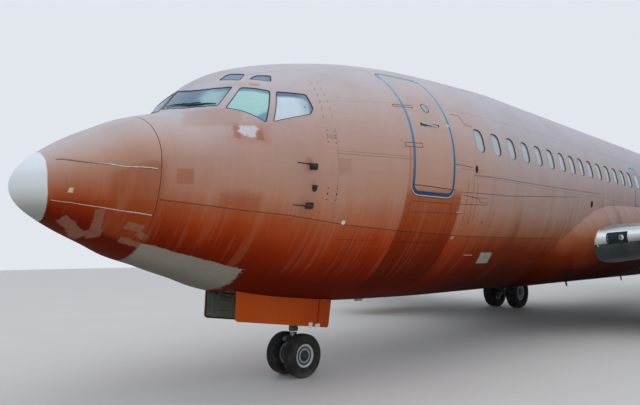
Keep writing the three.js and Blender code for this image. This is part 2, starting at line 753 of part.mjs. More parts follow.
// Half profile of a tyre: distance from its middle plane and radius, from bead to bead.
function tyreProfile(radius, width, rim) {
  const half = width / 2;
  const side = [
    [0.66, 0], [0.92, 0.18], [1, 0.5], [0.9, 0.82], [0.5, 1],
  ].map(([w, r]) => [w * half, rim + r * (radius - rim)]);
  const mirrored = side.map(([w, r]) => [-w, r]).reverse();
  return [...side, ...mirrored];
}

function tyreGeometry(radius, width, rim, segments) {
  const profile = tyreProfile(radius, width, rim);
  const points = [...profile, profile[0]].map(([w, r]) => new THREE.Vector2(r, w));
  return indexedFacingOut(new THREE.LatheGeometry(points, segments));
}

// Two wheels on the axle that carries them both, turned about Y. spacing is half their distance apart.
function wheelPairGeometry(rim, tyreWidth, spacing, axleRadius, segments) {
  const half = tyreWidth * 0.33;
  const inner = spacing - half;
  const outer = spacing + half;
  const rimRadius = rim - SEAM;
  const outerHalf = [
    [0, outer - 10], [rimRadius * 0.42, outer - 50], [rimRadius * 0.88, outer - 50],
    [rimRadius, outer], [rimRadius, inner], [axleRadius, inner + 30],
  ];
  const mirrored = outerHalf.map(([r, w]) => [r, -w]).reverse();
  const profile = [...outerHalf, ...mirrored].map(([r, w]) => new THREE.Vector2(r, w));
  return indexedFacingOut(new THREE.LatheGeometry(profile, segments));
}

const NOSE_AXLE_HEIGHT = NOSE_GEAR.tyreRadius - LOBE_HEIGHT;
const MAIN_AXLE_HEIGHT = MAIN_GEAR.tyreRadius - LOBE_HEIGHT;
const NOSE_RIM = 165;
const MAIN_RIM = 262;
const NOSE_AXLE = 32;
const MAIN_AXLE = 52;
const TAXI_LAMP = { height: -2200, radius: 70 };
const AXLE_PLAY = 6; // clearance round an axle in its leg

// The two doors that hang open beside the nose wheel's bay, as station and height.
const NOSE_DOOR = {
  inner: 335,
  outer: 365,
  outline: [[2530, -1790], [4215, -1980], [4215, -2440], [2530, -2210]],
};

function makeNoseGear() {
  const { station, tyreRadius, tyreWidth, trackHalf } = NOSE_GEAR;
  const axle = NOSE_AXLE_HEIGHT;
  // The shock strut's outer cylinder hangs from a cross tube in the bay and is braced forwards.
  const leg = rodSolid(place(station, 0, -2480), place(station, 0, -1150), 82)
    .add(rodSolid(place(station, -270, -1300), place(station, 270, -1300), 60))
    .add(rodSolid(place(station, 0, -2050), place(station - 1000, 0, -1200), 42))
    .add(boxSolid(station - 1000, 0, -1180, 120, 540, 90))
    .add(boxSolid(station, 0, -2400, 230, 210, 150))
    .add(rodSolid(place(station - 140, 0, TAXI_LAMP.height), place(station, 0, TAXI_LAMP.height), TAXI_LAMP.radius));
  addMesh("nose_gear_leg", toGeometry(leg), "steel");

  // The lower tube, axle and torque links turn when the nose wheels are steered. The two links meet at
  // a knee behind the tube.
  const knee = { station: station + 205, height: -2640 };
  let fork = rodSolid(place(station, 0, -2500), place(station, 0, axle), 55)
    .add(boxSolid(station, 0, axle, 130, 150, 140))
    .add(boxSolid(station - 110, 0, axle, 150, 70, 70))
    .add(rodSolid(place(knee.station, -38, knee.height), place(knee.station, 38, knee.height), 18));
  for (const y of [-26, 26]) {
    fork = fork
      .add(rodSolid(place(station, y, -2550), place(knee.station, y, knee.height), 14))
      .add(rodSolid(place(knee.station, y, knee.height), place(station, y, axle), 14));
  }
  fork = fork
    .subtract(rodSolid(place(station, -200, axle), place(station, 200, axle), NOSE_AXLE + AXLE_PLAY));
  addMesh("nose_gear_fork", toGeometry(fork), "steel");

  const centre = place(station, 0, axle);
  const belly = toSolid(fuselageLoft(1500, 5500, SEAM));
  const wheels = wheelPairGeometry(NOSE_RIM, tyreWidth, trackHalf, NOSE_AXLE, 20);
  addMesh("nose_wheels", wheels.translate(centre.x, centre.y, centre.z), "bareMetal");
  for (const [name, side] of [["left", -1], ["right", 1]]) {
    const tyre = tyreGeometry(tyreRadius, tyreWidth, NOSE_RIM, 20);
    addMesh(`nose_tyre_${name}`, tyre.translate(centre.x, side * trackHalf, centre.z), "rubber");
    const door = sidePrismOfShape(NOSE_DOOR.outline, ...inOrder(side * NOSE_DOOR.inner, side * NOSE_DOOR.outer));
    addMesh(`nose_gear_door_${name}`, toGeometry(door.subtract(belly)), "skin");
  }
}

function makeMainGear(side, name, wing) {
  const { station, tyreRadius, tyreWidth, trackHalf, wheelHalf } = MAIN_GEAR;
  const axle = MAIN_AXLE_HEIGHT;
  const y = side * trackHalf;
  const leg = rodSolid(place(station, y, -2250), place(station, y, -1300), 125, 18)
    .add(rodSolid(place(station, y, axle), place(station, y, -2250), 82, 18))
    .add(rodSolid(place(station, y - 110, axle), place(station, y + 110, axle), 105, 18))
    .subtract(rodSolid(place(station, y - 300, axle), place(station, y + 300, axle), MAIN_AXLE + AXLE_PLAY, 18))
    .add(rodSolid(place(station, y, -1950), place(station, side * 2110, -1400), 50))
    .add(rodSolid(place(station + 60, y, -2150), place(station + 260, y, -2330), 40))
    .add(rodSolid(place(station + 260, y, -2330), place(station + 60, y, axle + 60), 40))
    .subtract(wing);
  addMesh(`main_gear_leg_${name}`, toGeometry(leg), "steel");
  const centre = place(station, y, axle);
  const wheels = wheelPairGeometry(MAIN_RIM, tyreWidth, wheelHalf, MAIN_AXLE, 24);
  addMesh(`main_wheels_${name}`, wheels.translate(centre.x, centre.y, centre.z), "bareMetal");
  for (const [place2, offset] of [["inner", -side * wheelHalf], ["outer", side * wheelHalf]]) {
    const tyre = tyreGeometry(tyreRadius, tyreWidth, MAIN_RIM, 24);
    addMesh(`main_tyre_${name}_${place2}`, tyre.translate(centre.x, y + offset, centre.z), "rubber");
  }
  const panel = boxSolid(station, y + side * 175, -1880, 620, 24, 640);
  addMesh(`main_gear_door_${name}`, toGeometry(panel.subtract(wing)), "skin");
}

const fuselageBlock = toSolid(fuselageLoft(6500, 24500, SEAM));
const tailBlock = toSolid(fuselageLoft(19000, 29540, SEAM));
makeRadome();
makeFuselage();
makeFairing(fuselageBlock);
const grownFairing = fairingSolid(SEAM);
for (const [name, side] of [["left", -1], ["right", 1]]) {
  makeWing(side, name, grownFairing, fuselageBlock, nacelleBlock(side, SEAM));
  makeEngine(side, name);
  makeStabiliser(side, name, tailBlock);
  makeMainGear(side, name, toSolid(wingLoft(side, 1900, 4600, SEAM)));
}
makeFin(tailBlock);
makeNoseGear();

export default airliner;
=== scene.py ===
"""Dresses the narrow body airliner: skins, glazing, doors, landing gear, engines and weathered finishes.

Everything is in metres in the part's frame: +X runs aft, +Y to starboard, +Z up, and the ground is z = 0.
A station is a distance aft of the nose tip, and a height is measured from the centre of the upper lobe.
"""
import math

import bmesh
import bpy
import numpy as np
from bpy.props import FloatProperty, IntProperty, PointerProperty
from mathutils import Matrix, geometry


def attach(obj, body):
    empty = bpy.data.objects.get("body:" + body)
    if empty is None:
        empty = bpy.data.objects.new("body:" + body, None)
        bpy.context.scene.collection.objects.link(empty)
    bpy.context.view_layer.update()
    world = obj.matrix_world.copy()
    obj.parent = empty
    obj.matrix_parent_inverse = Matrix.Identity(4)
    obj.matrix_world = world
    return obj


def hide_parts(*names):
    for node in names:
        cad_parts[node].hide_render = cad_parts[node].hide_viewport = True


bl_info = {
    "name": "Airliner dressing",
    "version": (1, 0, 0),
    "blender": (4, 5, 0),
    "location": "3D View > Sidebar > Airliner",
    "description": "Skins, glazing, doors, gear and weathered finishes of a narrow body airliner",
    "category": "Add Mesh",
}

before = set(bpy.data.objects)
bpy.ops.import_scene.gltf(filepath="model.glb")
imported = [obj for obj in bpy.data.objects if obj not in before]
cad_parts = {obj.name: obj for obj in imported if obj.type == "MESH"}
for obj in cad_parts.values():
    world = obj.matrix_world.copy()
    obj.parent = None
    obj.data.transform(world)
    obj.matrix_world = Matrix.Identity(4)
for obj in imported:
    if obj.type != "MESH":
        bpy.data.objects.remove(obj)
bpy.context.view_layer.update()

NOSE_X = -15.265
LOBE_Z = 3.115
LOBE_RADIUS = 1.88
PORT, STARBOARD = -1, 1
SIDES = (("left", PORT), ("right", STARBOARD))
QUARTER = math.pi / 2

# Fuselage sections: station, top, bottom, half width and the height of the widest place.
SECTIONS = np.array([
    (0, -0.645, -0.645, 0, -0.645),
    (0.04, -0.503, -0.784, 0.165, -0.640),
    (0.12, -0.396, -0.879, 0.292, -0.630),
    (0.27, -0.260, -0.989, 0.444, -0.608),
    (0.5, -0.099, -1.121, 0.619, -0.584),
    (0.77, 0.05, -1.253, 0.775, -0.525),
    (1.03, 0.179, -1.384, 0.955, -0.435),
    (1.36, 0.286, -1.491, 1.110, -0.390),
    (1.56, 0.352, -1.563, 1.211, -0.368),
    (1.86, 0.692, -1.663, 1.342, -0.324),
    (2.21, 0.962, -1.793, 1.449, -0.265),
    (2.81, 1.200, -1.919, 1.580, -0.193),
    (3.51, 1.392, -2.009, 1.686, -0.131),
    (4.395, 1.575, -2.081, 1.791, -0.069),
    (5.285, 1.693, -2.106, 1.859, -0.029),
    (6.81, 1.810, -2.13, 1.88, 0),
    (8.2, 1.88, -2.13, 1.88, 0),
    (17.5, 1.88, -2.13, 1.88, 0),
    (19.5, 1.88, -2.05, 1.86, 0.03),
    (21.5, 1.87, -1.7, 1.75, 0.15),
    (23.5, 1.82, -1.15, 1.5, 0.4),
    (25.5, 1.72, -0.5, 1.13, 0.65),
    (27.5, 1.55, 0.15, 0.7, 0.85),
    (28.8, 1.35, 0.6, 0.38, 0.98),
    (29.54, 1.15, 0.85, 0.15, 1.0),
])
RADOME_SEAM = 1.141
RADOME_WALL = 0.03
SKIN_DEPTH = 0.03
# The nose tip is cut flat at this station.
TIP_STATION = 0.002
RIVET_PITCH = 0.028
FRAME_PITCH = 0.508
STRINGER_PITCH = 0.235
EXIT_STATION = 13.56

# Doors: node, side, centre station, width, sill, head, corner radius, width of the painted outline.
DOORS = [
    ("door_forward_left", PORT, 4.84, 0.86, -0.56, 1.24, 0.13, 0.042),
    ("door_forward_right", STARBOARD, 4.76, 0.76, -0.56, 1.09, 0.12, 0.042),
    ("airstair_door", PORT, 4.86, 0.90, -1.37, -0.68, 0.06, 0),
    ("cargo_door_forward", STARBOARD, 7.70, 1.22, -1.65, -0.76, 0.08, 0.03),
    ("overwing_exit_left", PORT, EXIT_STATION, 0.51, -0.29, 0.68, 0.10, 0.034),
    ("overwing_exit_right", STARBOARD, EXIT_STATION, 0.51, -0.29, 0.68, 0.10, 0.034),
    ("cargo_door_aft", STARBOARD, 20.20, 1.22, -1.48, -0.64, 0.08, 0.03),
    ("door_aft_left", PORT, 23.10, 0.76, -0.56, 1.20, 0.12, 0.04),
    ("door_aft_right", STARBOARD, 23.10, 0.76, -0.56, 1.09, 0.12, 0.04),
]
BARRELS = [
    ("nose_section", RADOME_SEAM, 5.9),
    ("forward_fuselage", 5.9, 9.95),
    ("centre_fuselage", 9.95, 17.6),
    ("aft_fuselage", 17.6, 24.4),
    ("tail_cone", 24.4, 29.54),
]

# Cabin windows: stations of their centres, and one window's size.
WINDOW_STATIONS = np.concatenate([
    6.034 + 0.0254 * np.array([0, 20, 40, 60, 80, 100, 120, 139, 157, 176, 196, 216, 236, 256, 276]),
    14.07 + FRAME_PITCH * np.arange(16),
])
WINDOW_HEIGHT = 0.345
WINDOW_SIZE = (0.25, 0.37)
WINDOW_RADIUS = 0.11

# Corners of the flight deck's panes, as station and degrees round the section from the widest place up.
PANES = {
    "windshield": [(1.634, 88.7), (1.856, 88.7), (1.830, 81.5), (1.821, 73.0), (1.842, 65.5), (1.886, 60.0),
                   (1.969, 53.8), (2.068, 49.0), (1.804, 39.8), (1.709, 48.2), (1.626, 61.0), (1.602, 71.0),
                   (1.609, 80.0)],
    "sliding_window": [(2.122, 45.7), (2.409, 37.0), (2.202, 17.0), (1.847, 35.2)],
    "side_window": [(2.474, 36.0), (2.844, 32.0), (2.856, 22.7), (2.793, 19.5), (2.287, 17.0)],
    "eyebrow_front": [(2.042, 62.2), (2.214, 64.5), (2.343, 57.7), (2.190, 52.0)],
    "eyebrow_rear": [(2.292, 50.8), (2.423, 53.5), (2.598, 50.7), (2.515, 44.3)],
}
# The nose wheel's bay: start, end, half width and the height of the roof.
NOSE_BAY = (2.48, 4.29, 0.29, -1.05)
# The main wheel wells: station, distance across, radius and the height of the roof.
WELL = (15.17, 0.80, 0.57, -1.64)


# Shapes

def monotone(x, xs, ys):
    """A smooth curve through rows of a table. Each span is a cubic whose end slopes are the harmonic
    means of the neighbouring slopes, so that the curve never swings past a row."""
    step = np.diff(xs)
    rise = np.diff(ys) / step
    slope = np.zeros(len(ys))
    near, far = 2 * step[1:] + step[:-1], step[1:] + 2 * step[:-1]
    with np.errstate(divide="ignore", invalid="ignore"):
        mean = (near + far) / (near / rise[:-1] + far / rise[1:])
    slope[1:-1] = np.where(rise[:-1] * rise[1:] > 0, mean, 0)
    slope[0], slope[-1] = rise[0], rise[-1]
    x = np.asarray(x, float)
    i = np.clip(np.searchsorted(xs, x, side="right") - 1, 0, len(xs) - 2)
    t = (x - xs[i]) / step[i]
    start = (2 * t ** 3 - 3 * t ** 2 + 1) * ys[i] + (t ** 3 - 2 * t ** 2 + t) * step[i] * slope[i]
    end = (3 * t ** 2 - 2 * t ** 3) * ys[i + 1] + (t ** 3 - t ** 2) * step[i] * slope[i + 1]
    return start + end


def section_at(station):
    """Top, bottom, half width and widest height at each station, smooth in the square root of the
    station, so that the nose tip is round."""
    root = np.sqrt(np.maximum(station, 0))
    return [monotone(root, np.sqrt(SECTIONS[:, 0]), SECTIONS[:, i]) for i in (1, 2, 3, 4)]


def hull(along, around, side, grow=0.0):
    """Points of the fuselage. along is the station, around an arc length on a lobe of LOBE_RADIUS that
    runs from the widest place up, and grow moves a point outwards. Each section is half an ellipse up
    to its top and half an ellipse down to its bottom."""
    top, bottom, half, middle = section_at(along)
    angle = np.asarray(around) / LOBE_RADIUS
    across, up = np.cos(angle), np.sin(angle)
    reach = np.where(up >= 0, top - middle, middle - bottom)
    return np.stack([
        along + NOSE_X + 0 * up,
        side * (half + grow) * across,
        middle + (reach + grow) * up + LOBE_Z,
    ], -1)


def from_heights(outline):
    """Stations and heights turned into stations and arc lengths: the arc whose sine is the height's
    share of the section's reach."""
    outline = np.asarray(outline, float)
    top, bottom, _, middle = section_at(outline[:, 0])
    rise = outline[:, 1] - middle
    share = rise / np.where(rise >= 0, top - middle, middle - bottom)
    return np.stack([outline[:, 0], np.arcsin(np.clip(share, -1, 1)) * LOBE_RADIUS], -1)


def rounded(corners, radius, spacing=0.03, bend=7):
    """A closed outline through corners. Each corner is a parabola between points one radius away from
    it, and the sides between are straight runs of evenly spaced points. It runs anticlockwise."""
    corners = np.asarray(corners, float)
    before, after = np.roll(corners, 1, 0), np.roll(corners, -1, 0)
    if np.sum(corners[:, 0] * after[:, 1] - after[:, 0] * corners[:, 1]) < 0:
        return rounded(corners[::-1], radius, spacing, bend)
    back = before - corners
    forth = after - corners
    cut_back = np.minimum(radius, 0.48 * np.linalg.norm(back, axis=1))[:, None]
    cut_forth = np.minimum(radius, 0.48 * np.linalg.norm(forth, axis=1))[:, None]
    enter = corners + back / np.linalg.norm(back, axis=1)[:, None] * cut_back
    leave = corners + forth / np.linalg.norm(forth, axis=1)[:, None] * cut_forth
    runs = []
    t = np.linspace(0, 1, bend)[:, None]
    for i in range(len(corners)):
        runs.append((1 - t) ** 2 * enter[i] + 2 * t * (1 - t) * corners[i] + t ** 2 * leave[i])
        end = enter[(i + 1) % len(corners)]
        count = max(int(np.linalg.norm(end - leave[i]) / spacing), 1)
        share = np.linspace(0, 1, count + 1)[1:-1, None]
        runs.append(leave[i] + share * (end - leave[i]))
    return np.concatenate(runs)


def rectangle(centre, width, low, high, radius, spacing=0.05):
    """A rounded rectangle of stations and heights, as stations and arc lengths."""
    return from_heights(block(centre - width / 2, centre + width / 2, low, high, radius, spacing))


def block(left, right, low, high, radius, spacing=0.03, bend=7):
    """A rounded rectangle between two places along and two levels."""
    return rounded([(left, low), (right, low), (right, high), (left, high)], radius, spacing, bend)


def full_turn(count):
    """Evenly spaced angles once round."""
    return np.linspace(0, 2 * math.pi, count, endpoint=False)


def oval(at, wide, tall, count=16):
    """An ellipse round a place, of two numbers."""
    turn = full_turn(count)
    return np.stack([at[0] + wide * np.cos(turn), at[1] + tall * np.sin(turn)], -1)


def widened(outline, by):
    """The outline moved outwards along its own normals."""
    run = np.roll(outline, -1, 0) - np.roll(outline, 1, 0)
    length = np.maximum(np.linalg.norm(run, axis=1), 1e-9)
    return outline + by * np.stack([run[:, 1], -run[:, 0]], -1) / length[:, None]


def inside(points, outline):
    """Whether each point lies inside the outline, by counting the sides that a ray crosses."""
    x, y = points[:, 0, None], points[:, 1, None]
    x1, y1 = outline[None, :, 0], outline[None, :, 1]
    x2, y2 = np.roll(outline[:, 0], -1)[None], np.roll(outline[:, 1], -1)[None]
    spans = (y1 > y) != (y2 > y)
    with np.errstate(divide="ignore", invalid="ignore"):
        cross = x1 + (y - y1) * (x2 - x1) / (y2 - y1)
    return np.sum(spans & (x < cross), axis=1) % 2 == 1


def circle_on_hull(at, radius):
    """A round outline on the hull at a station and height, as stations and arc lengths."""
    return oval(from_heights([at])[0], radius, radius)


class Sheets:
    """Gathers sheets of points and faces, and turns them into one mesh object at the origin."""

    def __init__(self):
        self.points, self.corners, self.sizes, self.marks, self.hull_rows = [], [], [], [], []
        self.count = 0

    def add(self, points, faces, mark=0, hull_row=None):
        """Points and the faces between them, with the number of their finish."""
        points = np.asarray(points, float).reshape(-1, 3)
        faces = np.asarray(faces, int)
        self.points.append(points)
        self.corners.append((faces + self.count).ravel())
        self.sizes.append(np.full(len(faces), faces.shape[1]))
        self.marks.append(np.full(len(faces), mark))
        self.hull_rows.append(np.zeros((len(points), 3)) if hull_row is None else hull_row)
        self.count += len(points)

    def grid(self, points, ring=False, loop=False, caps=False, mark=0, hull_row=None):
        """A sheet of rows and columns of points in four-sided faces. ring joins the last column to the
        first, loop the last row to the first, and caps closes both end rows with a fan to their middle."""
        rows, columns = points.shape[:2]
        i, j = np.meshgrid(
            np.arange(rows if loop else rows - 1), np.arange(columns if ring else columns - 1), indexing="ij")
        below, right = (i + 1) % rows, (j + 1) % columns
        faces = np.stack([i * columns + j, i * columns + right, below * columns + right,
                          below * columns + j], -1)
        flat = None if hull_row is None else hull_row.reshape(-1, 3)
        self.add(points, faces.reshape(-1, 4), mark, flat)
        if caps:
            for row, turn in ((points[0], 1), (points[-1], -1)):
                j = np.arange(columns)
                fan = np.stack([np.full(columns, columns), (j + 1) % columns, j][::turn], -1)
                self.add(np.concatenate([row, row.mean(0, keepdims=True)]), fan, mark)

    def piece(self, name, finishes, body="airframe", node=(), crease=38, closed=True, slot=None):
        """The mesh as an object. closed turns its faces outwards after doubled points are joined."""
        points = np.concatenate(self.points)
        corners = np.concatenate(self.corners)
        sizes = np.concatenate(self.sizes)
        mesh = bpy.data.meshes.new(name)
        mesh.vertices.add(len(points))
        mesh.loops.add(len(corners))
        mesh.polygons.add(len(sizes))
        mesh.vertices.foreach_set("co", points.ravel())
        mesh.loops.foreach_set("vertex_index", corners)
        mesh.polygons.foreach_set("loop_start", np.concatenate([[0], np.cumsum(sizes)[:-1]]))
        mesh.polygons.foreach_set("loop_total", sizes)
        mesh.polygons.foreach_set("material_index", np.concatenate(self.marks))
        hull_rows = np.concatenate(self.hull_rows)
        if hull_rows.any():
            mesh.attributes.new("hull", "FLOAT_VECTOR", "POINT").data.foreach_set("vector", hull_rows.ravel())
        mesh.update(calc_edges=True)
        work = bmesh.new()
        work.from_mesh(mesh)
        bmesh.ops.remove_doubles(work, verts=work.verts, dist=2e-5)
        bmesh.ops.dissolve_degenerate(work, edges=work.edges, dist=1e-6)
        if closed:
            bmesh.ops.recalc_face_normals(work, faces=work.faces)
        work.to_mesh(mesh)
        work.free()
        mesh.shade_smooth()
        mesh.set_sharp_from_angle(angle=math.radians(crease))
        for material in finishes if isinstance(finishes, (list, tuple)) else [finishes]:
            mesh.materials.append(material)
        obj = bpy.data.objects.new(name, mesh)
        bpy.context.scene.collection.objects.link(obj)
        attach(obj, body)
        if node:
            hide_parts(*([node] if isinstance(node, str) else node))
        return obj


def hull_rows(along, around, side):
    """Station, share of the way round and side of each point, for the paint to read."""
    along, around = np.broadcast_arrays(along, around)
    return np.stack([along, around / (LOBE_RADIUS * QUARTER), np.full(along.shape, side)], -1)


def add_closed(sheets, spots, side, grow, mark=0, surface=hull, caps=False):
    """A closed sheet on the hull or another surface, from rows of stations and arc lengths. Its last row
    is joined to its first, or both are closed by caps."""
    along, around = spots[..., 0], spots[..., 1]
    sheets.grid(surface(along, around, side, grow), ring=True, loop=not caps, caps=caps, mark=mark,
                hull_row=hull_rows(along, around, side))


def add_pad(sheets, outline, side, top, bottom, rings=6, mark=0, dome=0.0, surface=hull):
    """A closed plate on the hull or another surface: from its middle out to the outline at the height
    top, down to bottom and back. dome lifts the middle, falling off with the square of the way out."""
    middle = outline.mean(0)
    out = np.linspace(0, 1, rings + 1)
    shares = np.concatenate([out, out[::-1]])
    grows = np.concatenate([top + dome * (1 - out ** 2), np.full(rings + 1, bottom)])
    spots = middle + shares[:, None, None] * (outline - middle)
    add_closed(sheets, spots, side, grows[:, None], mark, surface)


def add_strip(sheets, path, side, half, rise, mark=0):
    """A low strip laid on the hull along a path of stations and arc lengths: five points across it,
    carried along the path square to it."""
    path = np.asarray(path, float)
    far = np.concatenate([[0], np.cumsum(np.linalg.norm(np.diff(path, axis=0), axis=1))])
    at = np.unique(np.concatenate([np.linspace(0, far[-1], int(far[-1] / 0.03) + 2), far]).round(6))
    path = np.stack([np.interp(at, far, path[:, i]) for i in (0, 1)], -1)
    run = np.gradient(path, axis=0)
    across = np.stack([-run[:, 1], run[:, 0]], -1) / np.linalg.norm(run, axis=1, keepdims=True)
    profile = np.array([(-1, -0.003), (-0.75, rise), (0.75, rise), (1, -0.003), (0, -0.004)])
    spots = path[:, None] + half * profile[:, 0, None] * across[:, None]
    add_closed(sheets, spots, side, profile[:, 1], mark, caps=True)


def turned_round(spots):
    """Stations and degrees round the section, as stations and arc lengths."""
    spots = np.asarray(spots, float)
    return np.stack([spots[:, 0], np.radians(spots[:, 1]) * LOBE_RADIUS], -1)


def add_trim(sheets, outline, side, profile, mark=0):
    """A closed moulding round an outline: each (widening, height) pair of the profile carried round it."""
    runs = np.stack([widened(outline, wide) for wide, _ in profile])
    grows = np.array([grow for _, grow in profile])[:, None]
    add_closed(sheets, runs, side, grows, mark)


def add_skin(sheets, stations, rows, holes, side, surface=hull):
    """Half of a skin with holes, on the hull or another surface. A grid of stations and arc lengths,
    thinned near the holes, is joined with the holes' outlines by a constrained triangulation, and
    triangles in a hole are left out."""
    along, around = np.meshgrid(stations, rows, indexing="ij")
    spots = np.stack([along.ravel(), around.ravel()], -1)
    edge = (np.isclose(spots[:, 0], stations[0]) | np.isclose(spots[:, 0], stations[-1])
            | np.isclose(spots[:, 1], rows[0]) | np.isclose(spots[:, 1], rows[-1]))
    keep = np.ones(len(spots), bool)
    for hole in holes:
        low, high = hole.min(0) - 0.08, hole.max(0) + 0.08
        near = np.flatnonzero(np.all((spots > low) & (spots < high), axis=1))
        away = np.linalg.norm(spots[near, None] - hole[None], axis=2).min(1)
        keep[near[(away < 0.024) | inside(spots[near], hole)]] = False
    keep |= edge
    spots = spots[keep]
    edges = []
    for hole in holes:
        start = len(spots)
        spots = np.concatenate([spots, hole])
        count = np.arange(len(hole))
        edges += np.stack([start + count, start + (count + 1) % len(hole)], -1).tolist()
    flat, _, faces, _, _, _ = geometry.delaunay_2d_cdt(
        [tuple(row) for row in spots.tolist()], edges, [], 0, 1e-6)
    flat = np.array([tuple(v) for v in flat])
    faces = np.array(faces)
    middles = flat[faces].mean(1)
    drop = np.zeros(len(faces), bool)
    for hole in holes:
        drop |= inside(middles, hole)
    faces = faces[~drop]
    if side == PORT:
        faces = faces[:, ::-1]
    points = surface(flat[:, 0], flat[:, 1], side)
    normal = np.cross(points[faces[:, 1]] - points[faces[:, 0]], points[faces[:, 2]] - points[faces[:, 0]])
    away = points[faces].mean(1) - [0, 0, LOBE_Z]
    turned = (normal[:, 1] * away[:, 1] + normal[:, 2] * away[:, 2]) < 0
    faces[turned] = faces[turned][:, ::-1]
    if surface is not hull:
        flat = from_heights(np.stack([flat[:, 0], points[:, 2] - LOBE_Z], -1))
    sheets.add(points, faces, 0, hull_rows(flat[:, 0], flat[:, 1], side))


# Finishes

def tone(red, green, blue):
    """A colour given as it looks, 0 to 255, turned into linear light."""
    seen = np.array([red, green, blue]) / 255
    linear = np.where(seen <= 0.04045, seen / 12.92, ((seen + 0.055) / 1.055) ** 2.4)
    return (*linear.tolist(), 1.0)


class Field:
    """A number that changes over a surface. Arithmetic on it adds Math nodes."""

    def __init__(self, finish, socket):
        self.finish, self.socket = finish, socket

    def _maths(self, operation, *values):
        """A Math node."""
        return self.finish.node("ShaderNodeMath", {"operation": operation}, *values)

    def __add__(self, other):
        return self._maths("ADD", self, other)

    def __sub__(self, other):
        return self._maths("SUBTRACT", self, other)

    def __rsub__(self, other):
        return self._maths("SUBTRACT", other, self)

    def __mul__(self, other):
        return self._maths("MULTIPLY", self, other)

    def __truediv__(self, other):
        return self._maths("DIVIDE", self, other)

    def __lt__(self, other):
        return self._maths("LESS_THAN", self, other)

    def __gt__(self, other):
        return self._maths("GREATER_THAN", self, other)

    def __abs__(self):
        return self._maths("ABSOLUTE", self)

    def __mod__(self, other):
        return self._maths("FLOORED_MODULO", self, other)

    __radd__, __rmul__ = __add__, __mul__

    def least(self, other):
        return self._maths("MINIMUM", self, other)

    def most(self, other):
        return self._maths("MAXIMUM", self, other)

    def within(self, low, high):
        """The number, held between two others."""
        return self.most(low).least(high)


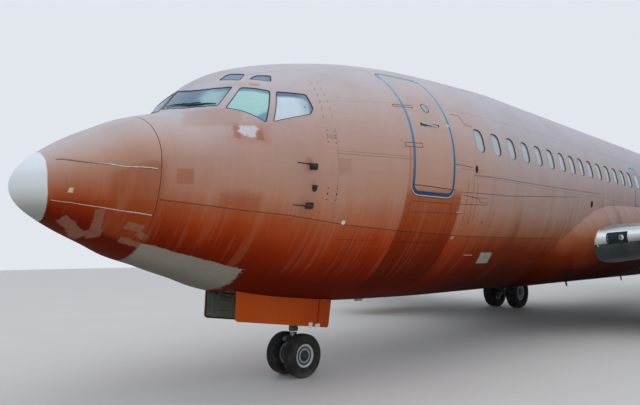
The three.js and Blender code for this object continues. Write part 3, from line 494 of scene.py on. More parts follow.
class Finish:
    """One material and the nodes that make it."""

    def __init__(self, name):
        self.material = bpy.data.materials.new(name)
        self.material.use_nodes = True
        self.tree = self.material.node_tree
        self.shader = self.tree.nodes["Principled BSDF"]

    def node(self, kind, settings=None, *values, out=0):
        """A node of any kind: its settings first, then a value or link for each socket in order. A
        ramp's stops are given as the setting "stops"."""
        node = self.tree.nodes.new(kind)
        for key, value in (settings or {}).items():
            if key == "stops":
                ramp = node.color_ramp
                while len(ramp.elements) < len(value):
                    ramp.elements.new(0.5)
                for element, (place, colour) in zip(ramp.elements, value):
                    element.position, element.color = place, colour
            else:
                setattr(node, key, value)
        for socket, value in zip([s for s in node.inputs if s.enabled], values):
            self.feed(socket, value)
        outputs = [s for s in node.outputs if s.enabled]
        return Field(self, outputs[out] if isinstance(out, int) else node.outputs[out])

    def feed(self, socket, value):
        """Links a field to a socket, or sets the socket's value."""
        if isinstance(value, Field):
            self.tree.links.new(value.socket, socket)
        elif value is not None:
            socket.default_value = value

    def set(self, **values):
        """Values or links for the shader's sockets, by name with underscores for spaces."""
        for name, value in values.items():
            self.feed(self.shader.inputs[name.replace("_", " ")], value)
        return self.material

    def place(self):
        """Where a point lies in the part's frame."""
        return self.node("ShaderNodeTexCoord", None, out="Object")

    def parts(self, vector):
        """The three numbers of a vector."""
        first = self.node("ShaderNodeSeparateXYZ", None, vector)
        node = first.socket.node
        return first, Field(self, node.outputs[1]), Field(self, node.outputs[2])

    def on_hull(self):
        """Station, share of the way round and side, from the piece's own attribute."""
        return self.parts(self.node("ShaderNodeAttribute", {"attribute_name": "hull"}, out="Vector"))

    def joined(self, x, y, z):
        """A vector from three numbers."""
        return self.node("ShaderNodeCombineXYZ", None, x, y, z)

    def stretched(self, vector, *factors):
        """A vector multiplied by a factor for each of its numbers."""
        return self.node("ShaderNodeVectorMath", {"operation": "MULTIPLY"}, vector, factors)

    def noise(self, vector, scale=1.0, detail=3.0, rough=0.55):
        """Cloudy noise from 0 to 1."""
        node = self.tree.nodes.new("ShaderNodeTexNoise")
        self.feed(node.inputs["Vector"], vector)
        node.inputs["Scale"].default_value = scale
        node.inputs["Detail"].default_value = detail
        node.inputs["Roughness"].default_value = rough
        return Field(self, node.outputs["Fac"])

    def ramp(self, value, *stops):
        """A colour for each value, from (place, colour) stops."""
        return self.node("ShaderNodeValToRGB", {"stops": stops}, value)

    def shades(self, level, *stops):
        """A colour for each level from 0 to 1, from stops that are shares of the way round, -1 to 1, each
        followed by a colour as it looks."""
        return self.ramp(level, *[(share * 0.5 + 0.5, tone(*shade)) for share, *shade in stops])

    def ease(self, value, low, high):
        """0 below low, 1 above high and a smooth rise between; low may be the larger one."""
        kind = {"interpolation_type": "SMOOTHSTEP"}
        if low > high:
            return 1 - self.node("ShaderNodeMapRange", kind, value, high, low, 0.0, 1.0)
        return self.node("ShaderNodeMapRange", kind, value, low, high, 0.0, 1.0)

    def mix(self, share, first, second):
        """Two colours mixed by a share."""
        node = self.tree.nodes.new("ShaderNodeMix")
        node.data_type = "RGBA"
        node.clamp_factor = True
        self.feed(node.inputs[0], share)
        self.feed(node.inputs[6], first)
        self.feed(node.inputs[7], second)
        return Field(self, node.outputs[2])

    def tint(self, colour, share, *shade):
        """The colour with a tone laid over it by a share."""
        return self.mix(share, colour, tone(*shade))

    def bump(self, height, strength=0.3, distance=0.01):
        """A normal that leans with a height."""
        node = self.tree.nodes.new("ShaderNodeBump")
        node.inputs["Strength"].default_value = strength
        node.inputs["Distance"].default_value = distance
        self.feed(node.inputs["Height"], height)
        return Field(self, node.outputs["Normal"])

    def window(self, value, low, high, soft):
        """1 between low and high, falling to 0 over soft outside them."""
        middle, half = (low + high) / 2, abs(high - low) / 2
        return self.ease(abs(value - middle), half + soft, half)

    def patch(self, x, y, soft, corners):
        """1 inside a convex outline of x and y, falling to 0 over soft outside it: the least distance to
        its sides decides."""
        least = None
        middle = np.mean(corners, 0)
        for (x1, y1), (x2, y2) in zip(corners, corners[1:] + corners[:1]):
            away = np.array([y1 - y2, x2 - x1]) / math.hypot(x2 - x1, y2 - y1)
            away = away * np.sign(away @ (middle - [x1, y1]))
            depth = x * float(away[0]) + y * float(away[1]) - float(away @ [x1, y1])
            least = depth if least is None else least.least(depth)
        return self.ease(least, -soft, soft)

    def line(self, value, at, width):
        """1 on a thin line where value is at, which may change over the surface."""
        return self.ease(abs(value - at), width, width * 0.35)


FINISHES = {}


def finish(make):
    """Makes a finish once and keeps it."""
    def kept(*args):
        key = (make.__name__, *args)
        if key not in FINISHES:
            FINISHES[key] = make(*args)
        return FINISHES[key]
    return kept


@finish
def hull_paint():
    """Chalky faded orange paint. Its colour goes by the way round the section, from pale on top to
    dark brown at the belly, in one range for the radome, one for the nose and one for the barrels behind.
    Streaks shift it up and down, and patches, bare filler, seams and rivets lie over it."""
    f = Finish("faded_orange_paint")
    place = f.place()
    _, y, z = f.parts(place)
    along, around, side = f.on_hull()
    height = z - LOBE_Z
    port = side < 0
    flow = f.joined(along, around, side)
    streak = f.noise(f.stretched(flow, 5.0, 1.5, 9.0), 1.0, 5.0, 0.62)
    thin = f.noise(f.stretched(flow, 26.0, 2.6, 9.0), 1.0, 3.0, 0.5)
    wide = f.noise(f.stretched(flow, 1.3, 1.1, 9.0), 1.0, 3.0, 0.5)
    blotch = f.noise(place, 1.6, 5.0, 0.6)
    grain = f.noise(place, 90.0, 2.0, 0.5)
    ragged = f.noise(place, 14.0, 4.0, 0.65)

    # The crease: a lapped seam low on the nose. The paint under it is fresher.
    crease_at = (-0.811 - (along - 1.16).within(0, 0.79) * 0.115 - (along - 1.95).within(0, 0.61) * 0.07
                 - (along - 2.56).within(0, 0.81) * 0.108 - (along - 3.37).within(0, 1.0) * 0.057
                 - (along - 4.37).within(0, 1.43) * 0.033)
    below = f.ease(height - crease_at, 0.006, -0.012) * f.ease(along, 9.5, 7.5)
    level = around + (streak - 0.5) * 0.10 + (thin - 0.5) * 0.05 + (wide - 0.5) * 0.10 - below * 0.045
    level = level * 0.5 + 0.5
    # These ranges run from pale on top to dark brown at the belly: partly the paint's fading and grime,
    # partly painted light on top and painted shade towards the belly.
    tip_range = f.shades(
        level, (-0.71, 92, 22, 3), (-0.60, 110, 26, 4), (-0.43, 142, 46, 10), (-0.30, 157, 68, 34),
        (-0.16, 169, 97, 66), (0.0, 174, 124, 102), (0.10, 180, 136, 116), (0.20, 187, 148, 133),
        (0.33, 191, 164, 156), (0.50, 194, 178, 175), (0.70, 198, 190, 190))
    nose_range = f.shades(
        level, (-0.71, 98, 20, 1), (-0.62, 118, 28, 2), (-0.53, 140, 42, 6), (-0.44, 164, 62, 24),
        (-0.36, 172, 86, 50), (-0.27, 177, 110, 80), (-0.19, 182, 134, 112), (-0.06, 185, 147, 131),
        (0.10, 189, 157, 147), (0.28, 191, 173, 169), (0.50, 193, 186, 190), (0.70, 194, 192, 199))
    barrel_range = f.shades(
        level, (-0.80, 50, 9, 1), (-0.62, 77, 19, 2), (-0.48, 112, 41, 15), (-0.38, 140, 76, 48),
        (-0.30, 155, 108, 84), (-0.22, 166, 136, 123), (-0.06, 174, 153, 149), (0.10, 182, 171, 172),
        (0.28, 182, 178, 184), (0.50, 186, 185, 194))
    colour = f.mix(f.ease(along + (wide - 0.5) * 0.5, 0.85, 1.75), tip_range, nose_range)
    colour = f.mix(f.ease(along + (wide - 0.5) * 1.6, 4.9, 7.6), colour, barrel_range)
    seam_glow = f.window(along + (streak - 0.5) * 0.2, 0.78, 1.12, 0.10)
    seam_glow = seam_glow * f.window(around, -0.58, -0.04, 0.10)
    colour = f.tint(colour, seam_glow * 0.5, 152, 74, 34)

    # Under the doors the paint is darker and stronger, with an edge that runs straight down.
    strong = f.window(along + (streak - 0.5) * 0.10, 4.32, 5.50, 0.05) * f.window(around, -0.70, -0.175, 0.05)
    colour = f.mix(strong * 0.9, colour, f.shades(
        level, (-0.64, 80, 18, 0), (-0.52, 104, 28, 3), (-0.38, 136, 46, 8), (-0.28, 150, 58, 14),
        (-0.16, 162, 86, 46)))
    # Rain has washed pale runs down the nose, and dirt runs down behind the doors.
    wash = f.ease(thin + (streak - 0.5) * 0.8, 0.54, 0.68) * f.window(around, -0.52, 0.02, 0.14)
    colour = f.tint(colour, wash * f.ease(along, 8.5, 5.5) * 0.06, 192, 150, 130)
    for station, half, low, high, share in (
        (1.69, 0.015, -0.46, -0.27, 0.12), (2.18, 0.020, -0.58, -0.27, 0.17),
        (2.86, 0.010, -0.54, -0.30, 0.13), (2.97, 0.008, -0.54, -0.30, 0.11),
        (0.84, 0.010, -0.30, 0.02, 0.18), (1.50, 0.020, -0.20, 0.02, 0.10),
    ):
        run = f.window(along - around * 0.22 + (thin - 0.5) * 0.10, station + 0.08 - half,
                       station + 0.08 + half, 0.05)
        colour = f.tint(colour, run * f.window(around, low, high, 0.10) * port * share, 184, 120, 88)
    stain = f.noise(f.stretched(flow, 3.2, 0.8, 9.0), 1.0, 5.0, 0.65)
    stain = f.ease(stain + (thin - 0.5) * 0.25, 0.53, 0.70) * f.window(around, -0.62, -0.12, 0.12)
    colour = f.tint(colour, stain * f.ease(along, 5.6, 7.6) * 0.42, 92, 56, 42)
    colour = f.tint(colour, f.ease(blotch, 0.44, 0.70) * f.ease(around, -0.42, -0.20) * 0.12, 156, 116, 100)

    # Patches of fresher or older paint on the port side, by their corners.
    for share, shade, soft, corners in (
        (0.30, (176, 118, 96), 0.03, ((1.40, 0.01), (1.90, 0.02), (2.02, 0.26), (1.58, 0.25))),
        (0.30, (172, 104, 76), 0.06, ((1.84, -0.16), (2.20, -0.17), (2.24, 0.06), (1.86, 0.06))),
        (0.40, (150, 62, 28), 0.015, ((1.83, -0.115), (1.90, -0.125), (1.91, 0.02), (1.84, 0.03))),
        (0.40, (150, 62, 28), 0.015, ((2.06, -0.12), (2.15, -0.13), (2.14, 0.00), (2.07, -0.02))),
        # This darker patch on the fairing below the wing's root is partly dirt and partly painted shade under
        # the wing.
        (0.45, (132, 56, 26), 0.10,
         ((9.78, -1.12), (10.35, -1.12), (10.95, -1.34), (11.2, -1.64), (10.1, -1.74), (9.8, -1.5))),
        (0.40, (156, 74, 40), 0.008, ((1.28, -0.64), (1.44, -0.64), (1.44, -0.48), (1.28, -0.48))),
        (0.40, (168, 72, 36), 0.012, ((2.32, -1.19), (2.60, -1.19), (2.61, -0.96), (2.33, -0.95))),
        (0.45, (156, 72, 34), 0.06, ((1.70, -0.90), (2.16, -0.92), (2.16, -0.72), (1.70, -0.70))),
        (0.35, (196, 150, 132), 0.015,
         ((1.98, 0.62), (2.12, 0.59), (2.36, 0.61), (2.36, 0.66), (2.16, 0.67))),
        (0.45, (204, 110, 84), 0.012, ((2.24, 0.605), (2.34, 0.605), (2.35, 0.645), (2.25, 0.65))),
        (0.45, (176, 84, 36), 0.03, ((2.66, -0.42), (2.72, -0.42), (2.74, -0.27), (2.66, -0.27))),
        (0.50, (180, 100, 56), 0.010, ((4.30, -0.55), (4.36, -0.55), (4.345, 0.05), (4.32, 0.05))),
        (0.30, (156, 110, 88), 0.02, ((3.125, -0.44), (3.31, -0.40), (3.30, -0.23), (3.113, -0.235))),
    ):
        colour = f.mix(f.patch(along, height, soft, corners) * port * share, colour, tone(*shade))

    # Brown primer on the radome, and bare grey filler under the chin with a ragged aft edge.
    primer = None
    for half, line in (
        (0.034, ((0.433, -1.006), (0.518, -1.074), (0.625, -1.150))),
        (0.042, ((0.686, -0.945), (0.700, -1.048), (0.72, -1.14))),
        (0.030, ((0.630, -1.140), (0.740, -1.135))), (0.034, ((0.965, -1.065), (1.06, -1.090))),
        (0.026, ((1.08, -1.150), (1.13, -1.180))), (0.024, ((0.96, -1.205), (1.043, -1.235), (1.12, -1.262))),
    ):
        for (x1, z1), (x2, z2) in zip(line, line[1:]):
            length = math.hypot(x2 - x1, z2 - z1)
            run, rise = (x2 - x1) / length, (z2 - z1) / length
            forth = (along - x1) * run + (height - z1) * rise
            off = (height - z1) * run - (along - x1) * rise
            beyond = (abs(forth - length / 2) - length / 2).most(abs(off))
            mark = f.ease(beyond + (ragged - 0.5) * 0.05, half + 0.006, half - 0.006)
            primer = mark if primer is None else primer.most(mark)
    colour = f.mix(primer * port * 0.7, colour, f.mix(ragged, tone(126, 78, 60), tone(158, 116, 98)))
    chin = f.ease(around + (ragged - 0.5) * 0.035 - f.window(along, 1.17, 1.40, 0.08) * 0.008, -0.618, -0.628)
    chin = chin * f.ease(along + (ragged - 0.5) * 0.24, 2.32, 2.28)
    chin = chin * f.ease(along, 1.125, 1.135) * f.ease(y, 0.36, 0.30)
    filler = f.mix(ragged, tone(134, 126, 114), tone(150, 143, 131))
    # The filler turns darker grey towards the belly: painted shade where it faces the ground.
    filler = f.mix(f.ease(around, -0.68, -0.95) * 0.6, filler, tone(92, 86, 80))
    colour = f.mix(chin, colour, filler)
    worn = f.noise(place, 26.0, 5.0, 0.7)
    white = f.patch(along + (ragged - 0.5) * 0.13, height + (worn - 0.5) * 0.09, 0.014,
                    ((1.885, -0.055), (1.99, -0.095), (2.055, -0.08), (2.10, 0.01), (2.07, 0.045),
                     (1.91, 0.03)))
    colour = f.mix(white * port * 0.9, colour, f.mix(ragged, tone(196, 196, 202), tone(222, 222, 228)))
    fleck = f.patch(along, height + (ragged - 0.5) * 0.02, 0.006,
                    ((0.39, -0.745), (0.43, -0.745), (0.43, -0.70), (0.40, -0.70)))
    colour = f.tint(colour, fleck * port, 214, 190, 160)

    # The white tip of the radome, worn along its edge. Its white turns grey lower down, by height: painted
    # light on top and painted shade below.
    tip = f.ease(along + around.least(-0.05) * 0.07 + (ragged - 0.5) * 0.012, 0.232, 0.222)
    colour = f.mix(tip, colour, f.shades(
        (height + 0.65) * 1.25 + 0.5, (-0.75, 146, 148, 140), (-0.575, 162, 165, 158),
        (-0.325, 200, 203, 200), (-0.075, 220, 226, 229), (0.175, 222, 228, 231), (0.425, 230, 237, 243),
        (0.875, 232, 239, 246)))

    # Seams: the crease, upright butt joints, laps and dashed stiffener rows, darkened by dirt.
    crease = f.line(height, crease_at + 0.008, 0.010) * f.ease(along, 1.14, 1.16) * f.ease(along, 9.9, 9.0)
    window_lap = f.line(height, -0.235, 0.006) * f.ease(along, 5.75, 5.8)
    upper_lap = f.line(around, 0.62, 0.0030) + f.line(around, 0.30, 0.0022) * f.ease(along, 2.9, 3.0)
    low_lap = (f.line(around, -0.62, 0.0022) + f.line(around, -0.82, 0.0025)) * f.ease(along, 3.0, 3.2)
    slope = (along - 3.08) * 0.042
    belt = f.line(height, slope - 0.183, 0.007) + f.line(height, slope - 0.150, 0.005)
    belt = belt * f.window(along, 3.1, 4.36, 0.02)
    for at, width, start, end, soft in (
        (-1.204, 0.008, 3.34, 4.0, 0.02), (-1.232, 0.016, 4.36, 5.58, 0.02), (-0.150, 0.006, 5.45, 6.0, 0.05),
    ):
        belt = belt + f.line(height, at, width) * f.window(along, start, end, soft)
    butt = f.line(along, 3.093 - height * 0.05, 0.006) * f.window(height, -0.95, 0.10, 0.04)
    dashes = f.ease(abs(around % 0.05 - 0.025), 0.010, 0.016)
    lean = (around - 0.2).within(0, 0.3)
    rows = f.line(along, 2.955 + lean * 0.33, 0.010) + f.line(along, 3.085 + lean * 0.20, 0.008)
    rows = rows * f.window(around, 0.19, 0.49, 0.01)
    joints = upper_lap + low_lap + butt + rows * dashes * 1.6
    for station in (5.9, 8.0, 9.95, 12.4, 14.9, 17.6, 19.9, 22.2, 24.4, 26.9):
        joints = joints + f.line(along, station, 0.0045)
    seam = (crease + window_lap * 0.5 + joints * 0.4 + belt * port * 0.6).least(1.0)
    colour = f.tint(colour, seam * 0.60, 66, 34, 24)

    # Rows of rivets beside the joints and along the frames.
    round_z = abs(height % RIVET_PITCH - RIVET_PITCH / 2) / RIVET_PITCH
    round_x = abs(along % RIVET_PITCH - RIVET_PITCH / 2) / RIVET_PITCH
    frame_row = f.line(along % FRAME_PITCH, FRAME_PITCH / 2, 0.0045) * f.ease(round_z, 0.30, 0.16)
    stringer = f.line(height % STRINGER_PITCH, 0.118, 0.0045) * f.ease(round_x, 0.30, 0.16)
    stringer = stringer * f.ease(abs(around), 0.85, 0.8)
    rivets = (frame_row + stringer) * f.ease(along, 1.15, 1.2)
    colour = f.tint(colour, rivets * 0.18, 80, 52, 42)
    colour = f.tint(colour, (grain - 0.35) * 0.10, 90, 62, 50)

    shape = grain * 0.05 + rivets * 0.6 - seam - chin * 0.4 + wide * 0.3
    rough = 0.72 + (blotch - 0.5) * 0.2 + (streak - 0.5) * 0.12
    return f.set(Base_Color=colour, Roughness=rough, Normal=f.bump(shape, 0.22, 0.004),
                 Specular_IOR_Level=0.04)


@finish
def edge_blue():
    """The blue paint that outlines a door. Its blue runs by height from deep at the sill to light at the top:
    painted shade low down and painted light where the skin curls up towards the sky.
    """
    f = Finish("door_outline_blue")
    place = f.place()
    wear = f.noise(place, 22.0, 5.0, 0.7)
    fade = f.noise(f.stretched(place, 3.0, 1.0, 1.0), 1.0, 3.0)
    _, _, z = f.parts(place)
    # Painted light and shade: the blue lightens with height.
    colour = f.ramp((z - LOBE_Z) * 0.5 + 0.5, (0.18, tone(2, 58, 98)), (0.30, tone(10, 84, 126)),
                    (0.50, tone(40, 118, 156)), (0.72, tone(78, 148, 182)), (1.0, tone(124, 180, 204)))
    colour = f.tint(colour, (fade - 0.4) * 0.4, 80, 130, 166)
    colour = f.tint(colour, f.ease(wear, 0.68, 0.76) * 0.6, 170, 160, 156)
    return f.set(Base_Color=colour, Roughness=0.55 + wear * 0.1, Normal=f.bump(wear, 0.15, 0.002),
                 Specular_IOR_Level=0.2)


@finish
def rubber_seal():
    """Dark sealant and rubber round panes and doors."""
    f = Finish("dark_seal")
    speck = f.noise(f.place(), 60.0, 4.0, 0.6)
    colour = f.mix(speck, tone(22, 22, 24), tone(52, 48, 46))
    return f.set(Base_Color=colour, Roughness=0.55 + speck * 0.25, Normal=f.bump(speck, 0.2, 0.002))


@finish
def deck_glass(kind):
    """Thick flight deck glazing coloured as painted reflections of the sky, with dark bands where the frame
    shades it and a pale blind behind the rear side pane."""
    f = Finish("glass_" + kind)
    along, around, side = f.on_hull()
    flow = f.joined(along, around * 2.5, side)
    haze = f.noise(f.stretched(flow, 3.0, 4.0, 1.0), 1.0, 4.0, 0.6)
    fine = f.noise(f.stretched(flow, 14.0, 10.0, 1.0), 1.0, 3.0, 0.6)
    lean = (haze - 0.5) * 0.16
    if kind == "windshield":
        # Painted reflection: the windshield's blues, lighter low down, and a bright patch.
        colour = f.mix(f.ease(around + lean, 0.84, 0.60), tone(66, 103, 128), tone(84, 122, 146))
        bright = f.patch(along + lean * 0.5, around + lean * 0.3, 0.05,
                         ((1.70, 0.52), (1.83, 0.44), (1.98, 0.54), (1.88, 0.64), (1.76, 0.64)))
        colour = f.tint(colour, bright * 0.8, 160, 200, 202)
        colour = f.tint(colour, f.ease(along + around * 0.3, 2.14, 2.20), 62, 100, 142)
    elif kind == "sliding_window":
        # The sliding window's pale teal is painted reflection.
        colour = f.mix(haze, tone(142, 194, 196), tone(168, 210, 206))
        top = around - 0.508 + (along - 2.112) * 0.332
        colour = f.tint(colour, f.ease(top, -0.045, -0.022) * 0.85, 62, 112, 140)
        low = f.ease(around + lean * 0.3 - (along - 2.0) * 0.12, 0.255, 0.215) * f.ease(along, 2.02, 2.12)
        colour = f.tint(colour, low * 0.75, 56, 116, 156)
        colour = f.tint(colour, f.ease(along - around * 0.5, 1.76, 1.62) * 0.6, 106, 150, 168)
    elif kind == "side_window":
        pale = f.mix(haze, tone(204, 220, 229), tone(188, 204, 217))
        pale = f.tint(pale, f.ease(along, 2.62, 2.80) * 0.7, 138, 154, 170)
        shade = f.ease(around + lean * 0.4, 0.24, 0.33) * f.ease(along, 2.50, 2.36)
        pale = f.tint(pale, shade * 0.5, 142, 160, 178)
        blind = f.patch(along, around, 0.012,
                        ((2.22, 0.10), (2.78, 0.205), (2.805, 0.258), (2.812, 0.305), (2.765, 0.334),
                         (2.618, 0.346), (2.41, 0.370)))
        # Outside the blind the pane is dark blue as painted reflection.
        edge = f.mix(f.ease(along, 2.70, 2.82), tone(66, 90, 138), tone(96, 122, 148))
        colour = f.mix(blind, edge, pale)
        mark = f.patch(along, around, 0.006, ((2.735, 0.262), (2.765, 0.262), (2.765, 0.272), (2.735, 0.272)))
        colour = f.tint(colour, mark * 0.7, 84, 112, 134)
    else:
        # The eyebrow panes' blues are painted reflection.
        colour = f.mix(haze, tone(76, 112, 146), tone(112, 144, 168))
        colour = f.tint(colour, f.ease(along, 2.44, 2.58) * 0.6, 54, 96, 134)
    colour = f.tint(colour, (fine - 0.4) * 0.25, 190, 208, 214)
    return f.set(Base_Color=colour, Roughness=0.16 + f.ease(fine, 0.4, 0.8) * 0.22, Specular_IOR_Level=0.35,
                 Coat_Weight=0.15, Coat_Roughness=0.08)


@finish
def cabin_glass():
    """Crazed acrylic cabin panes with a pale blind behind them, shaded at the top."""
    f = Finish("cabin_glass")
    place = f.place()
    _, _, z = f.parts(place)
    step = f.noise(f.stretched(place, 1.9, 0.2, 0.2), 1.0, 1.0)
    haze = f.noise(place, 9.0, 4.0, 0.6)
    top = f.ease(z - LOBE_Z, WINDOW_HEIGHT + 0.05, WINDOW_HEIGHT + 0.18)
    colour = f.mix(step, tone(150, 164, 172), tone(172, 182, 186))
    colour = f.tint(colour, top * 0.55, 120, 134, 144)
    colour = f.tint(colour, (haze - 0.4) * 0.3, 196, 204, 208)
    return f.set(Base_Color=colour, Roughness=0.16 + haze * 0.12, Coat_Weight=0.3, Coat_Roughness=0.08)


@finish
def rough_paint(name, red, green, blue, gloss):
    """Plain equipment paint with chips, dust and a slight orange peel. gloss is a whole percentage."""
    f = Finish("painted_" + name)
    place = f.place()
    cloud = f.noise(place, 2.2, 5.0, 0.6)
    chips = f.noise(place, 34.0, 5.0, 0.7)
    run = f.noise(f.stretched(place, 12.0, 12.0, 1.2), 1.0, 4.0, 0.6)
    base = np.array([red, green, blue])
    colour = f.mix(cloud, tone(*(base * 0.86)), tone(*np.minimum(base * 1.08, 255)))
    colour = f.mix(f.ease(run, 0.52, 0.72) * 0.35, colour, tone(*(base * 0.55)))
    colour = f.tint(colour, f.ease(chips, 0.68, 0.74) * 0.5, 92, 84, 78)
    return f.set(Base_Color=colour, Roughness=1 - gloss / 100 + (cloud - 0.5) * 0.16,
                 Normal=f.bump(chips * 0.5 + cloud, 0.15, 0.003), Specular_IOR_Level=0.4)


@finish
def tyre_rubber():
    """Aircraft tyre rubber: dark, dusty on the shoulders, with fine moulding marks."""
    f = Finish("tyre_rubber")
    place = f.place()
    _, _, z = f.parts(place)
    dust = f.noise(place, 7.0, 5.0, 0.6)
    pores = f.noise(place, 160.0, 2.0, 0.5)
    colour = f.mix(f.ease(dust, 0.35, 0.75), tone(24, 24, 25), tone(62, 58, 54))
    colour = f.tint(colour, f.ease(z, 0.12, 0.0) * 0.5, 112, 104, 94)
    return f.set(Base_Color=colour, Roughness=0.78 + (dust - 0.5) * 0.2,
                 Normal=f.bump(pores * 0.4 + dust, 0.25, 0.003),
                 Specular_IOR_Level=0.3)


# Fuselage pieces

def rows_between(low, high, count):
    """Arc lengths between two angles round the section."""
    return np.linspace(low, high, count) * LOBE_RADIUS


def door_outline(door):
    """A door's edge from its row of the table, as stations and arc lengths."""
    _, _, centre, width, sill, head, radius, _ = door
    return rectangle(centre, width, sill, head, radius)


def pane_outline(name):
    """A flight deck pane's edge, as stations and arc lengths."""
    return rounded(turned_round(PANES[name]), 0.05 if name.startswith("eyebrow") else 0.035)


def window_outline(station):
    """A cabin window's edge, as stations and arc lengths."""
    width, tall = WINDOW_SIZE
    low, high = WINDOW_HEIGHT - tall / 2, WINDOW_HEIGHT + tall / 2
    return rectangle(station, width, low, high, WINDOW_RADIUS, 0.06)


def bay_outline():
    """The nose wheel's bay on one half of the belly: it reaches from the keel line to its side wall."""
    start, end, half, _ = NOSE_BAY
    stations = np.linspace(start, end, 22)
    _, _, width, _ = section_at(stations)
    wall = -np.arccos(half / width) * LOBE_RADIUS
    keel = np.full(22, -QUARTER * LOBE_RADIUS)
    return np.concatenate([np.stack([stations, keel], -1), np.stack([stations, wall], -1)[::-1]])


def make_skins(props):
    """Every barrel of the fuselage, with holes for windows, doors, glazing and wheel bays."""
    for name, start, end in BARRELS:
        sheets = Sheets()
        if name == "nose_section":
            stations = np.concatenate([np.linspace(start, 3.4, 46), np.linspace(3.4, end, 31)[1:]])
        else:
            stations = np.linspace(start, end, int((end - start) / 0.16) + 1)
        rows = rows_between(-QUARTER, QUARTER, 65)
        for side in (PORT, STARBOARD):
            holes = [widened(door_outline(door), props.door_slit) for door in DOORS
                     if door[1] == side and start < door[2] < end]
            holes += [window_outline(s) for s in WINDOW_STATIONS if start < s < end]
            if name == "nose_section":
                holes += [pane_outline(pane) for pane in PANES] + [bay_outline()]
            if name == "centre_fuselage":
                holes.append(well_outline(lambda s: section_at(s)[2]))
            add_skin(sheets, stations, rows, holes, side)
        sheets.piece(name + "_skin", hull_paint(), node=name, closed=False, slot="fuselage_paint")


def make_radome():
    """The radome's outer and inner skin, flattened to TIP_STATION at the very tip, and the strips that
    lead lightning to the bulkhead, each with a dark strip below it as its painted shadow."""
    turn = np.linspace(-math.pi, math.pi, 129)[:-1]
    side = np.where(np.abs(turn) > QUARTER, PORT, STARBOARD)
    around = np.where(np.abs(turn) > QUARTER, np.sign(turn) * math.pi - turn, turn) * LOBE_RADIUS
    reach_aft = RADOME_SEAM - 0.006
    outer = reach_aft * np.linspace(0.0, 1, 44) ** 2
    inner = RADOME_WALL + (reach_aft - RADOME_WALL) * np.linspace(1, 0.0, 30) ** 2
    stations = np.concatenate([outer, inner])[:, None]
    grows = np.concatenate([0 * outer, -RADOME_WALL * np.linspace(1, 0.4, len(inner))])[:, None]
    top, bottom, half, middle = section_at(stations)
    across, up = np.cos(around / LOBE_RADIUS), np.sin(around / LOBE_RADIUS)
    reach = np.where(up >= 0, top - middle, middle - bottom)
    shrink = np.maximum(half + grows, 0)
    points = np.stack([
        np.maximum(stations, TIP_STATION) + NOSE_X + 0 * up,
        side * shrink * across,
        middle + np.maximum(reach + grows, 0) * up + LOBE_Z,
    ], -1)
    sheets = Sheets()
    sheets.grid(points, ring=True, hull_row=hull_rows(stations, around, side))
    sheets.piece("radome_shell", hull_paint(), "radome", "radome", slot="radome")

    strips = Sheets()
    for path in (((0.309, 32.0), (0.479, 19.2), (0.715, 8.8), (0.914, -0.5), (1.101, -4.2)),
                 ((0.278, -32.5), (0.465, -30.2), (0.674, -30.5), (0.885, -31.8), (1.120, -32.8))):
        line = np.array(path)
        run = np.linspace(line[0, 0], line[-1, 0], 24)
        line = turned_round(np.stack([run, monotone(run, line[:, 0], line[:, 1])], -1))
        for side in (PORT, STARBOARD):
            # A dark strip laid just below each lightning strip is its painted shadow.
            add_strip(strips, line - [0, 0.010], side, 0.010, 0.0015, mark=1)
            add_strip(strips, line, side, 0.011, 0.0055)
    strips.piece("radome_lightning_strips", [strip_metal(), rubber_seal()], "radome")


@finish
def strip_metal():
    """Lightning strips: bright, dulled by weather and overpainted here and there near the tip."""
    f = Finish("strip_metal")
    place = f.place()
    x, _, z = f.parts(place)
    wear = f.noise(place, 30.0, 4.0, 0.7)
    joint = f.ease(abs((x % 0.06) - 0.03), 0.003, 0.001)
    colour = f.mix(f.ease(wear, 0.35, 0.65), tone(188, 176, 164), tone(214, 206, 198))
    colour = f.tint(colour, joint * 0.5, 120, 84, 64)
    colour = f.tint(colour, f.ease(wear, 0.60, 0.70) * f.ease(x, NOSE_X + 0.70, NOSE_X + 0.45), 130, 74, 48)
    upper = f.ease(z, LOBE_Z - 0.75, LOBE_Z - 0.65)
    colour = f.tint(colour, upper * f.ease(x + wear * 0.2, NOSE_X + 0.82, NOSE_X + 0.62) * 0.85, 136, 88, 66)
    return f.set(Base_Color=colour, Metallic=0.2 + wear * 0.2, Roughness=0.4 + wear * 0.2)


def make_windows(props):
    """Cabin windows: a dark seal down to each pane and a slightly domed pane."""
    panes, seals = Sheets(), Sheets()
    for side in (PORT, STARBOARD):
        for station in WINDOW_STATIONS:
            outline = window_outline(station)
            add_trim(seals, outline, side,
                     [(0.003, 0.0), (0.0, 0.0015), (-0.010, -0.014), (-0.012, -0.030), (0.003, -0.030)])
            add_pad(panes, widened(outline, -0.009), side, -props.recess, -0.026, 4, dome=props.dome)
        exit_window = rectangle(EXIT_STATION, 0.25, 0.16, 0.53, WINDOW_RADIUS, 0.06)
        add_trim(seals, exit_window, side,
                 [(0.006, 0.001), (0.002, 0.003), (-0.008, 0.002), (-0.010, -0.002), (0.006, -0.002)])
        add_pad(panes, widened(exit_window, -0.006), side, 0.001, -0.003, 4)
    panes.piece("cabin_windows", cabin_glass())
    seals.piece("cabin_window_seals", rough_paint("window_seal", 78, 72, 72, 30))


